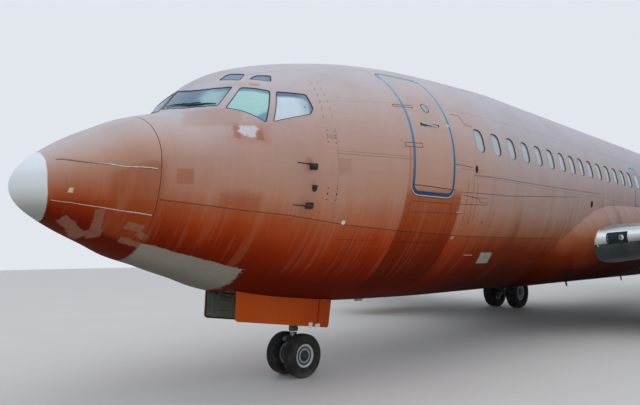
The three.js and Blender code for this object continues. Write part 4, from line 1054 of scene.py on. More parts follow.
def make_flight_deck():
    """The flight deck's panes in dark frames that stand slightly proud of the skin, with a strip over
    the post between the windshields."""
    finishes = [deck_glass(kind) for kind in ("windshield", "sliding_window", "side_window", "eyebrow")]
    order = {"windshield": 0, "sliding_window": 1, "side_window": 2, "eyebrow_front": 3, "eyebrow_rear": 3}
    for name, side in SIDES:
        glass, frames = Sheets(), Sheets()
        for pane, mark in order.items():
            outline = pane_outline(pane)
            add_pad(glass, widened(outline, -0.010), side, -0.006, -0.03, 8, mark=mark)
            add_trim(frames, outline, side,
                     [(0.003, -0.002), (0.001, 0.0025), (-0.006, 0.0025), (-0.012, -0.004),
                      (-0.012, -0.012), (0.003, -0.012)])
        # The dark strip over the post between the windshields is painted shade of the post.
        if side == PORT:
            add_strip(frames, turned_round([(1.600, 90), (1.866, 90)]), side, 0.017, 0.004)
        glass.piece("flight_deck_glass_" + name, finishes, node="glazing_" + name, slot="flight_deck_glass")
        frames.piece("flight_deck_frames_" + name, rough_paint("pane_frame", 66, 66, 76, 30))


def make_doors(props):
    """Doors flush in their holes, the dark seal behind each edge and the painted outline round it."""
    seals, blue = Sheets(), Sheets()
    edge = props.door_slit + 0.001
    for door in DOORS:
        name, side, half = door[0], door[1], door[-1] / 2
        outline = door_outline(door)
        sheets = Sheets()
        add_pad(sheets, outline, side, 0.0, -SKIN_DEPTH, 14)
        sheets.piece(name + "_skin", hull_paint(), node=name, slot="fuselage_paint")
        add_trim(seals, outline, side, [(edge, -0.001), (edge, -0.045), (-0.04, -0.045), (-0.04, -0.034)])
        if half:
            outer = props.door_slit + half
            add_trim(blue, outline, side,
                     [(-0.001, 0.0005), (-half, 0.0009), (-half, -0.001), (-0.001, -0.001)])
            add_trim(blue, outline, side, [(outer, 0.0009), (edge, 0.0006), (edge, -0.001), (outer, -0.001)])
    seals.piece("door_seals", rubber_seal())
    blue.piece("door_outlines", edge_blue())


# Bars, turned pieces and plates

def spot(station, across, height):
    """Points of the part's frame from stations, side distances and heights."""
    station, across, height = np.broadcast_arrays(station, across, height)
    return np.stack([station + NOSE_X, across, height + LOBE_Z], -1).astype(float)


def add_tube(sheets, path, radius, sides=14, mark=0, loop=False):
    """A round bar along a path: a circle in the plane at right angles to the path at each of its points,
    whose radius may change from point to point."""
    path = np.asarray(path, float)
    run = np.roll(path, -1, 0) - np.roll(path, 1, 0) if loop else np.gradient(path, axis=0)
    run /= np.linalg.norm(run, axis=1, keepdims=True)
    flat = np.eye(3)[np.argmin(np.abs(run).max(0))]
    across = np.cross(run, flat)
    across /= np.linalg.norm(across, axis=1, keepdims=True)
    up = np.cross(across, run)
    turn = full_turn(sides)[:, None]
    circle = np.cos(turn) * across[:, None] + np.sin(turn) * up[:, None]
    points = path[:, None] + np.broadcast_to(radius, len(path))[:, None, None] * circle
    sheets.grid(points, ring=True, loop=loop, caps=not loop, mark=mark)


def add_turned(sheets, profile, start, axis, sides=32, mark=0, loop=False):
    """A turned shape. The profile's points are a distance along the axis from start and a radius."""
    profile = np.asarray(profile, float)
    axis = np.asarray(axis, float) / np.linalg.norm(axis)
    first = np.cross(axis, np.eye(3)[np.argmin(np.abs(axis))])
    first /= np.linalg.norm(first)
    second = np.cross(axis, first)
    turn = full_turn(sides)[:, None]
    circle = np.cos(turn) * first + np.sin(turn) * second
    points = np.asarray(start, float) + profile[:, 0, None, None] * axis + profile[:, 1, None, None] * circle
    sheets.grid(points, ring=True, loop=loop, caps=not loop, mark=mark)


def add_rod(sheets, start, end, radius, sides=20, mark=0, bevel=0.006):
    """A straight bar between two points whose end edges are cut at 45 degrees."""
    start, end = np.asarray(start, float), np.asarray(end, float)
    length = np.linalg.norm(end - start)
    profile = [(0, radius - bevel), (bevel, radius), (length - bevel, radius), (length, radius - bevel)]
    add_turned(sheets, profile, start, end - start, sides, mark)


def add_pin(sheets, station, height, across, half, radius, sides=20, mark=0, bevel=0.006):
    """A straight bar that lies across the aircraft and reaches half to both sides of a place."""
    ends = [spot(station, across + reach, height) for reach in (-half, half)]
    add_rod(sheets, *ends, radius, sides, mark, bevel)


def add_plate(sheets, outline, low, high, place, bevel=0.004, mark=0):
    """A flat plate: an outline between two levels, its edges cut at 45 degrees. place turns the outline's
    two numbers and the level into points."""
    inner, middle = widened(outline, -bevel), np.broadcast_to(outline.mean(0), outline.shape)
    rings = [(inner, low), (outline, low + bevel), (outline, high - bevel), (inner, high)]
    half_in = [((inner + middle) / 2, level) for level in (low, high)]
    rings = [half_in[0], *rings, half_in[1]]
    points = np.stack([place(ring[:, 0], ring[:, 1], np.full(len(ring), level)) for ring, level in rings])
    sheets.grid(points, ring=True, caps=True, mark=mark)


def mirrored(side, near, far):
    """Two distances from the keel line on one side of it, the lower number first."""
    return sorted((side * near, side * far))


def seen_from_side(station, height, across):
    """Points of an outline drawn from the side, for add_plate."""
    return spot(station, across, height)


def seen_from_above(station, across, height):
    """Points of an outline drawn from above, for add_plate."""
    return spot(station, across, height)


def seen_from_front(across, height, station):
    """Points of an outline drawn from the front, for add_plate."""
    return spot(station, across, height)


def belly_height(station, across):
    """The height of the fuselage's underside at a distance across."""
    _, bottom, half, middle = section_at(station)
    return middle - (middle - bottom) * np.sqrt(1 - (across / half) ** 2)


def section_rings(places):
    """Closed rings of the hull's section. Each place is a station and the share of its size that the
    ring keeps round its middle."""
    around = rows_between(-QUARTER, QUARTER, 49)
    rings = []
    for station, share in places:
        ring = np.concatenate([hull(station, around, PORT), hull(station, around[::-1], STARBOARD)[1:-1]])
        middle = ring.mean(0)
        rings.append(middle + share * (ring - middle))
    return np.stack(rings)


def add_mast(sheets, foot, head, chords, thick):
    """A streamlined mast between two points: ellipses that lie along the station and shrink evenly."""
    foot, head = np.asarray(foot, float), np.asarray(head, float)
    turn = full_turn(20)[:, None]
    run = (head - foot) / np.linalg.norm(head - foot)
    flat = np.cross(run, [1, 0, 0])
    share = np.linspace(0, 1, 5)[:, None, None]
    chord = chords[0] + share * (chords[1] - chords[0])
    ring = chord / 2 * np.cos(turn) * [1, 0, 0] + thick / 2 * np.sin(turn) * flat / np.linalg.norm(flat)
    sheets.grid(foot + share * (head - foot) + ring, ring=True, caps=True)


def outward_of(path):
    """Unit steps to the right of a path of stations and arc lengths, which is outwards where the path
    runs anticlockwise round an outline."""
    run = np.gradient(path, axis=0)
    length = np.linalg.norm(run, axis=1, keepdims=True)
    return np.stack([run[:, 1], -run[:, 0]], -1) / np.maximum(length, 1e-9)


def hull_spot(station, degrees, side, grow=0.0):
    """One point on the hull, by its station and degrees round the section."""
    return hull(station, math.radians(degrees) * LOBE_RADIUS, side, grow)


def make_bulkheads():
    """The bulkhead behind the radome with its bars and lip, and the tail cone's end."""
    sheets = Sheets()
    shares = np.concatenate([np.linspace(0.04, 0.985, 7), np.linspace(0.985, 0.04, 7)])
    stations = RADOME_SEAM + np.repeat([0.060, 0.074], 7)
    sheets.grid(section_rings(zip(stations, shares)), ring=True, caps=True)
    lip = [(0.004, 0.975), (0.004, 0.93), (0.012, 0.93), (0.012, 0.965), (0.060, 0.965), (0.060, 0.975)]
    sheets.grid(section_rings((RADOME_SEAM + at, share) for at, share in lip), ring=True, loop=True)
    top, bottom, half, middle = section_at(RADOME_SEAM)
    for across in (-0.62, -0.30, 0.0, 0.30, 0.62):
        reach = 0.93 * math.sqrt(1 - (across / half) ** 2)
        low, high = middle - (middle - bottom) * reach, middle + (top - middle) * reach
        bar = block(across - 0.02, across + 0.02, low, high, 0.006, 0.3, 3)
        add_plate(sheets, bar, RADOME_SEAM + 0.025, RADOME_SEAM + 0.0595, seen_from_front, 0.003)
    for height in (-0.95, -0.60, -0.25):
        reach = 0.90 * half * math.sqrt(max(1 - ((height - middle) / (middle - bottom)) ** 2, 0.2))
        bar = block(-reach, reach, height - 0.02, height + 0.02, 0.006, 0.3, 3)
        add_plate(sheets, bar, RADOME_SEAM + 0.030, RADOME_SEAM + 0.0595, seen_from_front, 0.003)
    sheets.piece("nose_bulkhead", bay_primer())
    cap = Sheets()
    end = BARRELS[-1][2]
    rings = [(end - 0.004, 0.999), (end - 0.003, 0.9), (end - 0.05, 0.86), (end - 0.05, 0.1),
             (end - 0.06, 0.1), (end - 0.06, 0.9), (end - 0.02, 0.995)]
    cap.grid(section_rings(rings), ring=True, loop=True)
    cap.grid(section_rings([(end - 0.056, 0.12), (end - 0.048, 0.12)]), ring=True, caps=True)
    cap.piece("tail_cone_end", hot_metal("tail"))


def make_fittings(props):
    """Small fittings of the skin: wipers, probes, vents, static plates, door furniture and the jack pads."""
    dark, bright, lines = Sheets(), Sheets(), Sheets()
    for side in (PORT, STARBOARD):
        # Wipers along the foot of each windshield.
        blade = turned_round([(1.640, 83.5), (1.652, 79.5), (1.660, 64.0), (1.662, 60.5), (1.716, 51.4),
                              (1.800, 42.4)])
        run = np.linspace(0, 5, 40)
        spots = np.stack([np.interp(run, np.arange(6), blade[:, i]) for i in (0, 1)], -1)
        wide = 0.005 + 0.005 * np.clip(run - 1, 0, 1) * np.clip(5 - run, 0, 1)
        add_tube(dark, hull(spots[:, 0], spots[:, 1], side, 0.010), wide, 8)
        arm = spots[14:31] + np.linspace(0, 0.010, 17)[:, None] * [1, 0]
        add_tube(dark, hull(arm[:, 0], arm[:, 1], side, 0.022), 0.006, 8)
        # Two pitot tubes and a vane between them.
        for station, degrees in ((2.765, -5.8), (2.775, -21.2)):
            foot = hull_spot(station, degrees, side, -0.005)
            head = hull_spot(station - 0.11, degrees + 0.8, side, props.probe_reach)
            add_mast(dark, foot, head, (0.11, 0.07), 0.040)
            level = math.radians(degrees) * LOBE_RADIUS
            base = block(station - 0.060, station + 0.050, level - 0.042, level + 0.042, 0.02)
            add_pad(dark, base, side, 0.006, -0.003, 2)
            tube = [(0, 0.003), (0.001, 0.0070), (0.15, 0.0085), (0.18, 0.015), (0.235, 0.017), (0.26, 0.006)]
            add_turned(dark, tube, head - [0.215, 0, 0], (1, 0, 0), 16)
        add_mast(dark, hull_spot(2.80, -14.3, side, -0.003), hull_spot(2.76, -12.9, side, 0.055),
                 (0.05, 0.10), 0.014)
        add_pad(dark, turned_round(oval((2.80, -14.3), 0.035, 1.3)), side, 0.003, -0.003, 2)
        # Static plates with a screw in each corner.
        for low, high, left, right in ((-0.685, -0.653, 3.018, 3.114), (-0.007, 0.041, 2.993, 3.067)):
            plate = from_heights(block(left, right, low, high, 0.006, 0.05, 4))
            add_pad(bright, plate, side, 0.0015, -0.002, 2, mark=4)
            for across in (left - 0.03, right + 0.01):
                for up in (low - 0.05, low + 0.01, high - 0.01, high + 0.05):
                    add_pad(dark, circle_on_hull((across, up), 0.0085), side, 0.0015, -0.002, 1)
        add_pad(bright, circle_on_hull((3.330, -0.995), 0.030), side, 0.002, -0.003, 2, mark=1)
        # Vents, and drain masts under the fairing.
        for at, wide, tall in (((5.866, -0.125), 0.040, 0.062), ((10.493, -0.392), 0.064, 0.076)):
            vent = from_heights(oval(at, wide, tall))
            add_pad(lines, vent, side, 0.0012, -0.004, 2)
            # The dark pad inside each vent is painted shade.
            add_pad(dark, widened(vent, -0.014), side, 0.0018, -0.004, 2, mark=1)
    for station, across in ((13.0, -0.20), (16.7, -0.35)):
        _, _, under = at_span(FAIRING_SECTIONS, station)
        add_mast(bright, spot(station, across, under + 0.02), spot(station + 0.05, across, -2.26),
                 (0.16, 0.09), 0.03)
    corners = np.array([(9.961, -1.775), (10.164, -1.726), (10.403, -1.753), (10.517, -1.876),
                        (10.555, -1.932), (10.293, -1.905)])
    _, high, low = at_span(FAIRING_SECTIONS, corners[:, 0])
    share = (corners[:, 1] - (high + low) / 2) / ((high - low) / 2)
    intake = np.stack([corners[:, 0], np.arcsin(np.clip(share, -1, 1)) * LOBE_RADIUS], -1)
    # A dark pad of painted shade stands for the fairing intake's opening.
    add_pad(dark, rounded(intake, 0.05), PORT, 0.003, -0.01, 3, mark=1, surface=fairing)

    # Door furniture: porthole, handle, hinge slots, sill and worn lines.
    for side in (PORT, STARBOARD):
        porthole = turned_round(oval((4.862, 25.5), 0.078, 2.6, 32))
        if side == STARBOARD:
            porthole = porthole - [0.06, 0]
        add_pad(bright, widened(porthole, -0.012), side, 0.001, -0.004, 4, mark=2)
        add_trim(dark, porthole, side,
                 [(0.002, 0.0), (0.0, 0.002), (-0.007, 0.002), (-0.012, -0.002), (0.002, -0.002)])
    handle = turned_round([(4.620, 17.0), (5.044, 16.5), (5.024, 14.8), (4.607, 14.8)])
    add_pad(dark, rounded(handle, 0.008), PORT, 0.001, -0.003, 3)
    for start, end in ((0, 1), (1, 2), (2, 3), (3, 0)):
        add_strip(bright, [handle[start], handle[end]], PORT, 0.006, 0.003)
    add_strip(bright, [handle[0] + [0.04, -0.012], handle[2] - [0.04, -0.012]], PORT, 0.017, 0.010)
    for left, right, low, high in ((4.20, 4.60, 24.9, 26.1), (4.235, 4.58, 3.9, 5.9)):
        edge = turned_round([(left, low), (right, low), (right, high), (left, high), (left, low)])
        for start in range(4):
            add_strip(lines, edge[start:start + 2], PORT, 0.005, 0.0018)
    for path, half in (
        (((4.405, -0.462), (5.335, -0.480)), 0.007),
        (((5.455, 0.695), (5.661, 0.699), (5.747, 0.561), (5.939, 0.555)), 0.004),
        (((5.283, -0.102), (5.747, -0.108)), 0.004), (((5.674, -0.543), (6.244, -0.545)), 0.003),
        (((5.435, -0.669), (6.264, -0.643)), 0.004), (((5.657, -0.30), (5.66, -0.5), (5.70, -0.961)), 0.0025),
        (((5.804, -0.26), (5.806, -0.5), (5.85, -0.952)), 0.002),
        (((5.928, -0.36), (5.93, -0.5), (5.96, -0.902)), 0.002),
        (((5.56, -0.53), (6.02, -0.565), (6.02, -0.60), (6.29, -0.625)), 0.004),
        (((4.447, -0.822), (5.29, -0.806), (5.60, -0.800)), 0.005),
        (((5.508, -0.492), (6.9, -0.46), (9.837, -0.287)), 0.0035),
        (((5.786, -0.217), (8.2, -0.19), (10.924, -0.149)), 0.0035),
    ):
        for start, end in zip(path, path[1:]):
            add_strip(lines, from_heights([start, end]), PORT, half, 0.0016)
    # The sill is trimmed in bare metal outside the paint, and the top edge has a dark slit.
    outline = np.roll(door_outline(DOORS[0]), 24, 0)
    foot = outline[outline[:, 1] < from_heights([(4.84, -0.46)])[0, 1]]
    add_strip(bright, foot + 0.036 * outward_of(foot), PORT, 0.008, 0.003)
    add_strip(lines, foot + 0.050 * outward_of(foot), PORT, 0.005, 0.0016)
    head = outline[outline[:, 1] > from_heights([(4.84, 1.16)])[0, 1]]
    head = np.roll(head, -int(np.argmax(head[:, 0])), 0) if head[0, 0] < head[-1, 0] else head
    add_strip(lines, head + 0.034 * outward_of(head), PORT, 0.006, 0.0016)
    for path, half in ((((6.171, -1.418), (6.423, -1.418)), 0.005),
                       (((5.462, -0.788), (5.588, -0.779)), 0.007)):
        add_strip(bright, from_heights(path), PORT, half, 0.003)
    add_strip(bright, turned_round([(5.215, 16.8), (5.275, 16.8)]), PORT, 0.014, 0.003, mark=1)
    latch = from_heights(block(5.56, 5.62, -1.175, -1.13, 0.006, 0.05, 4))
    add_pad(bright, latch, PORT, 0.002, -0.002, 2, mark=3)
    placard = turned_round([(6.648, -40.2), (7.013, -40.5), (7.086, -47.0), (6.721, -47.0)])
    add_pad(bright, rounded(placard, 0.01), PORT, 0.0015, -0.002, 3, mark=3)
    for at in ((6.251, -0.910), (6.012, -1.137)):
        add_pad(dark, circle_on_hull(at, 0.014), PORT, 0.0015, -0.002, 1)

    # Jack pads under the nose and wings, as the model's own.
    add_turned(bright, [(0, 0.02), (0, 0.062), (0.008, 0.0695), (0.045, 0.0695), (0.045, 0.02)],
               spot(5.2, 0, -2.14), (0, 0, 1))
    for side in (PORT, STARBOARD):
        add_turned(bright, [(0, 0.03), (0, 0.080), (0.010, 0.0895), (0.30, 0.0895), (0.30, 0.03)],
                   spot(14.3, side * 3.5, -1.5), (0, 0, 1))
    dark.piece("skin_fittings_dark", [rough_paint("fitting_black", 38, 37, 38, 45), painted_hole_shade()])
    bright.piece("skin_fittings_bright", [rough_paint("fitting_silver", 178, 178, 176, 60),
                                          rough_paint("fitting_white", 222, 220, 214, 40), cabin_glass(),
                                          rough_paint("fitting_grey", 150, 150, 138, 30),
                                          rough_paint("fitting_pink", 176, 146, 136, 25)])
    lines.piece("skin_lines", rough_paint("seam_brown", 100, 58, 44, 20))


# Wings and tail

# Wing sections: distance across, leading edge, chord, height of the leading edge and thickness.
WING_SECTIONS = np.array([
    (1.5, 9.98, 6.79, -1.18, 0.86),
    (1.9, 10.31, 6.43, -1.14, 0.81),
    (5.0, 12.93, 3.67, -0.815, 0.45),
    (9.6, 15.32, 2.635, -0.33, 0.30),
    (14.175, 17.70, 1.60, 0.15, 0.16),
])
# Fall of the wing's chord line over a length aft, as a share of that length.
WING_FALL = 0.02
# Surfaces on the trailing edge: name, inner and outer end, and the chord at each.
TRAILING = [
    ("flap_inboard", 2.12, 4.42, 1.15, 1.00),
    ("flap_outboard", 5.25, 9.75, 0.90, 0.64),
    ("aileron", 9.85, 13.00, 0.56, 0.43),
]
# Clearances of a hinged surface: at its two ends, and between its nose and the part ahead of it.
END_SLIT = 0.035
SLOT = 0.014
THIN_EDGE = 0.005
# The round nose of a hinged surface as a share of the wing's half thickness there.
NOSE_SHARE = 0.94
# Distances across of the flap track fairings.
TRACKS = (4.13, 6.15, 8.70)
# The landing light's notch: inner and outer end and depth. The lamp stands at its own span.
LIGHT_NOTCH = (2.10, 2.40, 0.062)
LAMP_SPAN = 2.30

# Fin sections: height, leading edge, chord, thickness. Stabiliser sections: distance across, leading
# edge, chord, height, thickness. Rudder and elevator: inner and outer end, and the chord at each.
FIN_SECTIONS = np.array([(1.25, 22.65, 5.90, 0.56), (1.90, 23.15, 5.50, 0.52), (8.16, 27.60, 2.10, 0.18)])
RUDDER = (1.95, 8.08, 1.50, 0.64)
STABILISER_SECTIONS = np.array([(0.25, 25.00, 3.50, 0.96, 0.38), (5.485, 28.43, 2.10, 1.60, 0.19)])
ELEVATOR = (0.76, 5.30, 0.90, 0.56)


def aerofoil(share):
    """Half the thickness at a share of the chord: a square root for the round nose, less a polynomial
    that brings it down to the trailing edge."""
    return 1.48 * np.sqrt(share) - 0.63 * share - 1.76 * share ** 2 + 1.42 * share ** 3 - 0.49 * share ** 4


def at_span(table, span):
    """Each column of a table of sections at places along the span, straight between its rows."""
    return [np.interp(span, table[:, 0], table[:, i]) for i in range(1, table.shape[1])]


def add_wing(sheets, spans, leading, chord, thickness, ends, place, count=34, notch=None):
    """A wing: one aerofoil ring at each span from its nose back to ends, a station. Shares of the chord
    grow with the square of a step, so that points crowd at the round nose. notch is a depth for each
    span: in front of it the nose is cut off flat, and its points spread over the cut."""
    step = np.linspace(0, 1, count) ** 1.9
    along = step * (ends - leading)[:, None]
    share = np.ones_like(along)
    if notch is not None:
        share = np.where(along < notch[:, None], along / np.maximum(notch[:, None], 1e-9), 1)
        along = np.maximum(along, notch[:, None])
    half = np.maximum(aerofoil(np.clip(along / chord[:, None], 0, 1)) * thickness[:, None], 0.004) * share
    half[:, 0] = 0
    along = np.concatenate([along[:, ::-1], along[:, 1:]], 1)
    up = np.concatenate([half[:, ::-1], -half[:, 1:]], 1)
    sheets.grid(place(spans[:, None], leading[:, None] + along, along, up), ring=True, caps=True)


def slotted(spans, slots):
    """Spans with a pair of rows at both ends of each slot, and whether each row is inside a slot."""
    rows = [(span, False) for span in spans if not any(low <= span <= high for low, high in slots)]
    for low, high in slots:
        rows += [(low, False), (low, True), (high, True), (high, False)]
        rows += [(span, True) for span in spans if low < span < high]

    def order(row):
        """At a slot's start the row outside it comes first, and at its end the row inside it."""
        starts = any(abs(row[0] - low) < 1e-9 for low, _ in slots)
        return row[0], row[1] if starts else not row[1]

    rows.sort(key=order)
    return np.array([row[0] for row in rows]), np.array([row[1] for row in rows])


def notched(spans, cut):
    """The spans with doubled rows at both ends of the landing light's notch, and its depth at each."""
    low, high, depth = LIGHT_NOTCH
    at = np.searchsorted(spans, [low, low, high, high])
    spans, cut = np.insert(spans, at, [low, low, high, high]), np.insert(cut, at, True)
    inner = (spans > low) & (spans < high)
    inner[np.flatnonzero(spans == low)[-1]] = inner[np.flatnonzero(spans == high)[0]] = True
    return spans, cut, np.where(inner, depth, 0.0)


def trailing_frame(table, surface, span, height_column):
    """Hinge station, height of the chord line, half thickness and chord of a surface at a span."""
    inner, outer, inner_chord, outer_chord = surface
    columns = at_span(table, span)
    leading, chord, thickness = columns[0], columns[1], columns[-1]
    own = inner_chord + (span - inner) / (outer - inner) * (outer_chord - inner_chord)
    along = chord - own
    half = aerofoil(along / chord) * thickness
    height = columns[2] if height_column else np.zeros_like(along)
    return leading + along, height, half, own, along


def slot_front(table, surface, ends, span):
    """The station where a surface's slot starts, on a straight line between the slot's two ends."""
    station, _, half, _, _ = trailing_frame(table, surface, np.array(ends), False)
    return np.interp(span, ends, station - half - SLOT)


def hinged_rows(table, surface, fall=0.0, height_column=False):
    """Nine rows along a hinged surface, straight between its ends: span, station and height of the hinge
    line, half thickness and chord."""
    ends = np.array(surface[:2])
    rows = np.linspace(*ends, 9)
    station, level, half, own, along = trailing_frame(table, surface, ends, height_column)
    return rows, *[np.interp(rows, ends, value) for value in (station, level - fall * along, half, own)]


def thinned(thickness, spans, width):
    """The thickness, brought down along an ellipse over a width at the tip."""
    tip = np.clip((spans - (spans[-1] - width)) / width, 0, 0.96)
    return thickness * np.sqrt(1 - tip ** 2)


def add_surface(sheets, spans, station, half, chord, place):
    """A hinged surface: half a circle for its nose round the hinge line, then straight sides to a thin
    trailing edge."""
    turn = np.linspace(math.pi / 2, 3 * math.pi / 2, 13)
    radius = (half * NOSE_SHARE)[:, None]
    back = np.linspace(0, 1, 9)[1:]
    along = np.concatenate([radius * np.cos(turn), chord[:, None] * back, chord[:, None] * back[::-1]], 1)
    side = radius + (THIN_EDGE - radius) * back
    up = np.concatenate([radius * np.sin(turn), -side, side[:, ::-1]], 1)
    sheets.grid(place(spans[:, None], station[:, None] + along, along, up), ring=True, caps=True)


def control_paint():
    """The grey of the surfaces that steer the aircraft."""
    return rough_paint("control_grey", 158, 160, 160, 45)


def make_wings():
    """Wings with their slots, hinged surfaces, polished leading edges and flap track fairings."""
    for name, side in SIDES:
        slots = [(s[1] - END_SLIT, s[2] + END_SLIT) for s in TRAILING]
        spans, cut = slotted(np.linspace(WING_SECTIONS[0, 0], WING_SECTIONS[-1, 0], 64), slots)
        spans, cut, notch = notched(spans, cut)
        leading, chord, _, thickness = at_span(WING_SECTIONS, spans)
        thickness = thinned(thickness, spans, 0.06)
        ends = leading + chord
        for surface, slot in zip(TRAILING, slots):
            here = cut & (spans > surface[1] - 0.05) & (spans < surface[2] + 0.05)
            ends = np.where(here, slot_front(WING_SECTIONS, surface[1:], slot, spans), ends)

        def on_wing(span, station, along, up):
            level = np.interp(span, WING_SECTIONS[:, 0], WING_SECTIONS[:, 3]) - WING_FALL * along
            return spot(station, side * span + 0 * along, level + up)

        sheets = Sheets()
        add_wing(sheets, spans, leading, chord, thickness, ends, on_wing, notch=notch)
        for track in TRACKS:
            add_track_fairing(sheets, side, track)
        sheets.piece("wing_skin_" + name, wing_metal(), node="wing_" + name, slot="wing_metal")

        for surface in TRAILING:
            rows, hinge, level, half, own = hinged_rows(WING_SECTIONS, surface[1:], WING_FALL, True)

            def on_surface(span, station, along, up):
                return spot(station, side * span + 0 * along, level[:, None] - WING_FALL * along + up)

            sheets = Sheets()
            add_surface(sheets, rows, hinge, half, own, on_surface)
            body, metal, slot = "airframe", wing_metal(), "wing_metal"
            if surface[0] == "aileron":
                body, metal, slot = "aileron_" + name, control_paint(), "fuselage_paint"
            sheets.piece(f"{surface[0]}_skin_{name}", metal, body, f"{surface[0]}_{name}", slot=slot)


def add_track_fairing(sheets, side, track):
    """A boat-shaped fairing: circles squashed to a flat top under the flap, that swell from the wing's
    lower skin and narrow again behind the trailing edge."""
    surface = next(s for s in TRAILING if s[1] < track < s[2])
    station, level, half, chord, along = [
        float(value) for value in trailing_frame(WING_SECTIONS, surface[1:], np.array(track), True)]
    level -= WING_FALL * along
    front = -half - SLOT
    end = chord + 0.33
    knots = np.array([front - 0.9, front - 0.72, front - 0.405, front + 0.001, 0, 0.3 * chord, 0.75 * chord,
                      chord, end])
    sizes = np.array([0.1, 0.5, 0.85, 1, 1, 0.97, 0.75, 0.5, 0.06])
    run = np.linspace(knots[0], knots[-1], 40)
    size = monotone(run, knots, sizes)
    under = -(half * NOSE_SHARE + (THIN_EDGE - half * NOSE_SHARE) * np.clip(run / chord, 0, 1)) - 0.02
    top = np.where(run < front, -0.55 * half, under)
    bottom = under - 0.25 * size
    turn = full_turn(24)
    up = np.where(np.sin(turn) > 0, top[:, None], top[:, None] + (bottom - top)[:, None] * -np.sin(turn))
    across = side * track + 0.105 * np.sqrt(size)[:, None] * np.cos(turn)
    points = spot(station + run[:, None], across, level - WING_FALL * run[:, None] + up)
    sheets.grid(points, ring=True, caps=True)


def make_tail():
    """Fin with its dorsal fillet, rudder, stabilisers and elevators."""
    low, high = RUDDER[:2]
    slot = (low - 0.06, 8.5)
    spans = np.concatenate([np.linspace(FIN_SECTIONS[0, 0], slot[0], 6),
                            np.linspace(slot[0], FIN_SECTIONS[-1, 0], 34)])
    cut = np.concatenate([np.zeros(6, bool), np.ones(34, bool)])
    leading, chord, thickness = at_span(FIN_SECTIONS, spans)
    ends = np.where(cut, slot_front(FIN_SECTIONS, RUDDER, slot, spans), leading + chord)
    thickness = thinned(thickness, spans, 0.07)

    def on_fin(span, station, along, up):
        return spot(station, up, span + 0 * along)

    sheets = Sheets()
    add_wing(sheets, spans, leading, chord, thickness, ends, on_fin)
    # Thin panels carry both faces of the fin on over the rudder's round nose, so that no light shows through.
    rows = np.linspace(low - 0.05, high, 24)
    hinge, _, half, _, _ = trailing_frame(FIN_SECTIONS, RUDDER, np.array([low, high]), False)
    lip = np.interp(rows, (low, high), hinge - 0.45 * NOSE_SHARE * half)
    edges = np.stack([slot_front(FIN_SECTIONS, RUDDER, slot, rows) - 0.02, lip], -1)
    leading_at, chord_at, thick_at = [value[:, None] for value in at_span(FIN_SECTIONS, rows)]
    surface = aerofoil((edges - leading_at) / chord_at) * thick_at - 0.0005
    edges = np.concatenate([edges, edges[:, ::-1]], 1)
    surface = np.concatenate([surface, surface[:, ::-1] - 0.003], 1)
    for face in (1, -1):
        sheets.grid(on_fin(rows[:, None], edges, edges, face * surface), ring=True, caps=True)
    rise = np.linspace(0, 1, 16)
    ridge = np.stack([20.3 + 3.6 * rise, 1.70 + 1.25 * rise], -1)
    turn = np.linspace(0, math.pi, 15)
    width = 0.07 * np.minimum(1, 0.25 + 2 * rise)
    across = width[:, None] * np.cos(turn)
    foot = np.where(np.abs(np.cos(turn)) > 0.99, 1.5, 0)
    level = np.where(foot > 0, 1.5, ridge[:, 1, None] - 0.05 + 0.05 * np.sin(turn))
    sheets.grid(spot(ridge[:, 0, None], across, level), ring=True, caps=True)
    sheets.piece("fin_skin", tail_paint(), node="fin", slot="fuselage_paint")

    rows, hinge, _, half, own = hinged_rows(FIN_SECTIONS, RUDDER)
    sheets = Sheets()
    add_surface(sheets, rows, hinge, half, own, on_fin)
    sheets.piece("rudder_skin", tail_paint(), "rudder", "rudder", slot="fuselage_paint")

    for name, side in SIDES:
        slot = (0.1, ELEVATOR[1] + END_SLIT)
        root, tip = STABILISER_SECTIONS[[0, -1], 0]
        spans = np.concatenate([np.linspace(root, slot[1], 30), np.linspace(slot[1], tip, 8)])
        cut = np.concatenate([np.ones(30, bool), np.zeros(8, bool)])
        leading, chord, _, thickness = at_span(STABILISER_SECTIONS, spans)
        ends = np.where(cut, slot_front(STABILISER_SECTIONS, ELEVATOR, slot, spans), leading + chord)
        thickness = thinned(thickness, spans, 0.06)

        def on_stabiliser(span, station, along, up):
            level = np.interp(span, STABILISER_SECTIONS[:, 0], STABILISER_SECTIONS[:, 3])
            return spot(station, side * span + 0 * along, level + up)

        sheets = Sheets()
        add_wing(sheets, spans, leading, chord, thickness, ends, on_stabiliser, 30)
        sheets.piece("stabiliser_skin_" + name, wing_metal(), node="stabiliser_" + name,
                     slot="fuselage_paint")
        rows, hinge, _, half, own = hinged_rows(STABILISER_SECTIONS, ELEVATOR)
        sheets = Sheets()
        add_surface(sheets, rows, hinge, half, own, on_stabiliser)
        elevator = "elevator_" + name
        sheets.piece("elevator_skin_" + name, control_paint(), elevator, elevator, slot="fuselage_paint")


# The fairing between the wing roots and the belly: station, half width, top and bottom of an ellipse.
FAIRING_SECTIONS = np.array([
    (9.15, 1.30, -0.45, -1.95),
    (9.43, 1.62, -0.487, -2.15),
    (10.1, 1.90, -0.117, -2.15),
    (10.714, 1.97, 0.249, -2.15),
    (11.6, 2.00, 0.451, -2.15),
    (13.6, 2.02, 0.540, -2.15),
    (16.4, 2.02, 0.305, -2.15),
    (17.6, 1.90, -0.117, -2.15),
    (18.5, 1.57, -0.798, -2.10),
    (18.95, 1.20, -0.50, -1.90),
])


def wing_nose(span, along, share, side, inset=0.0):
    """Points on a wing's nose: share runs from 1 on top to -1 below at a distance back from the nose,
    and inset moves them inwards."""
    leading, chord, height, thickness = at_span(WING_SECTIONS, span)
    half = aerofoil(np.maximum(along - inset, 0) / chord) * thickness - inset
    return spot(leading + along, side * span, height - WING_FALL * along + share * np.maximum(half, 0))


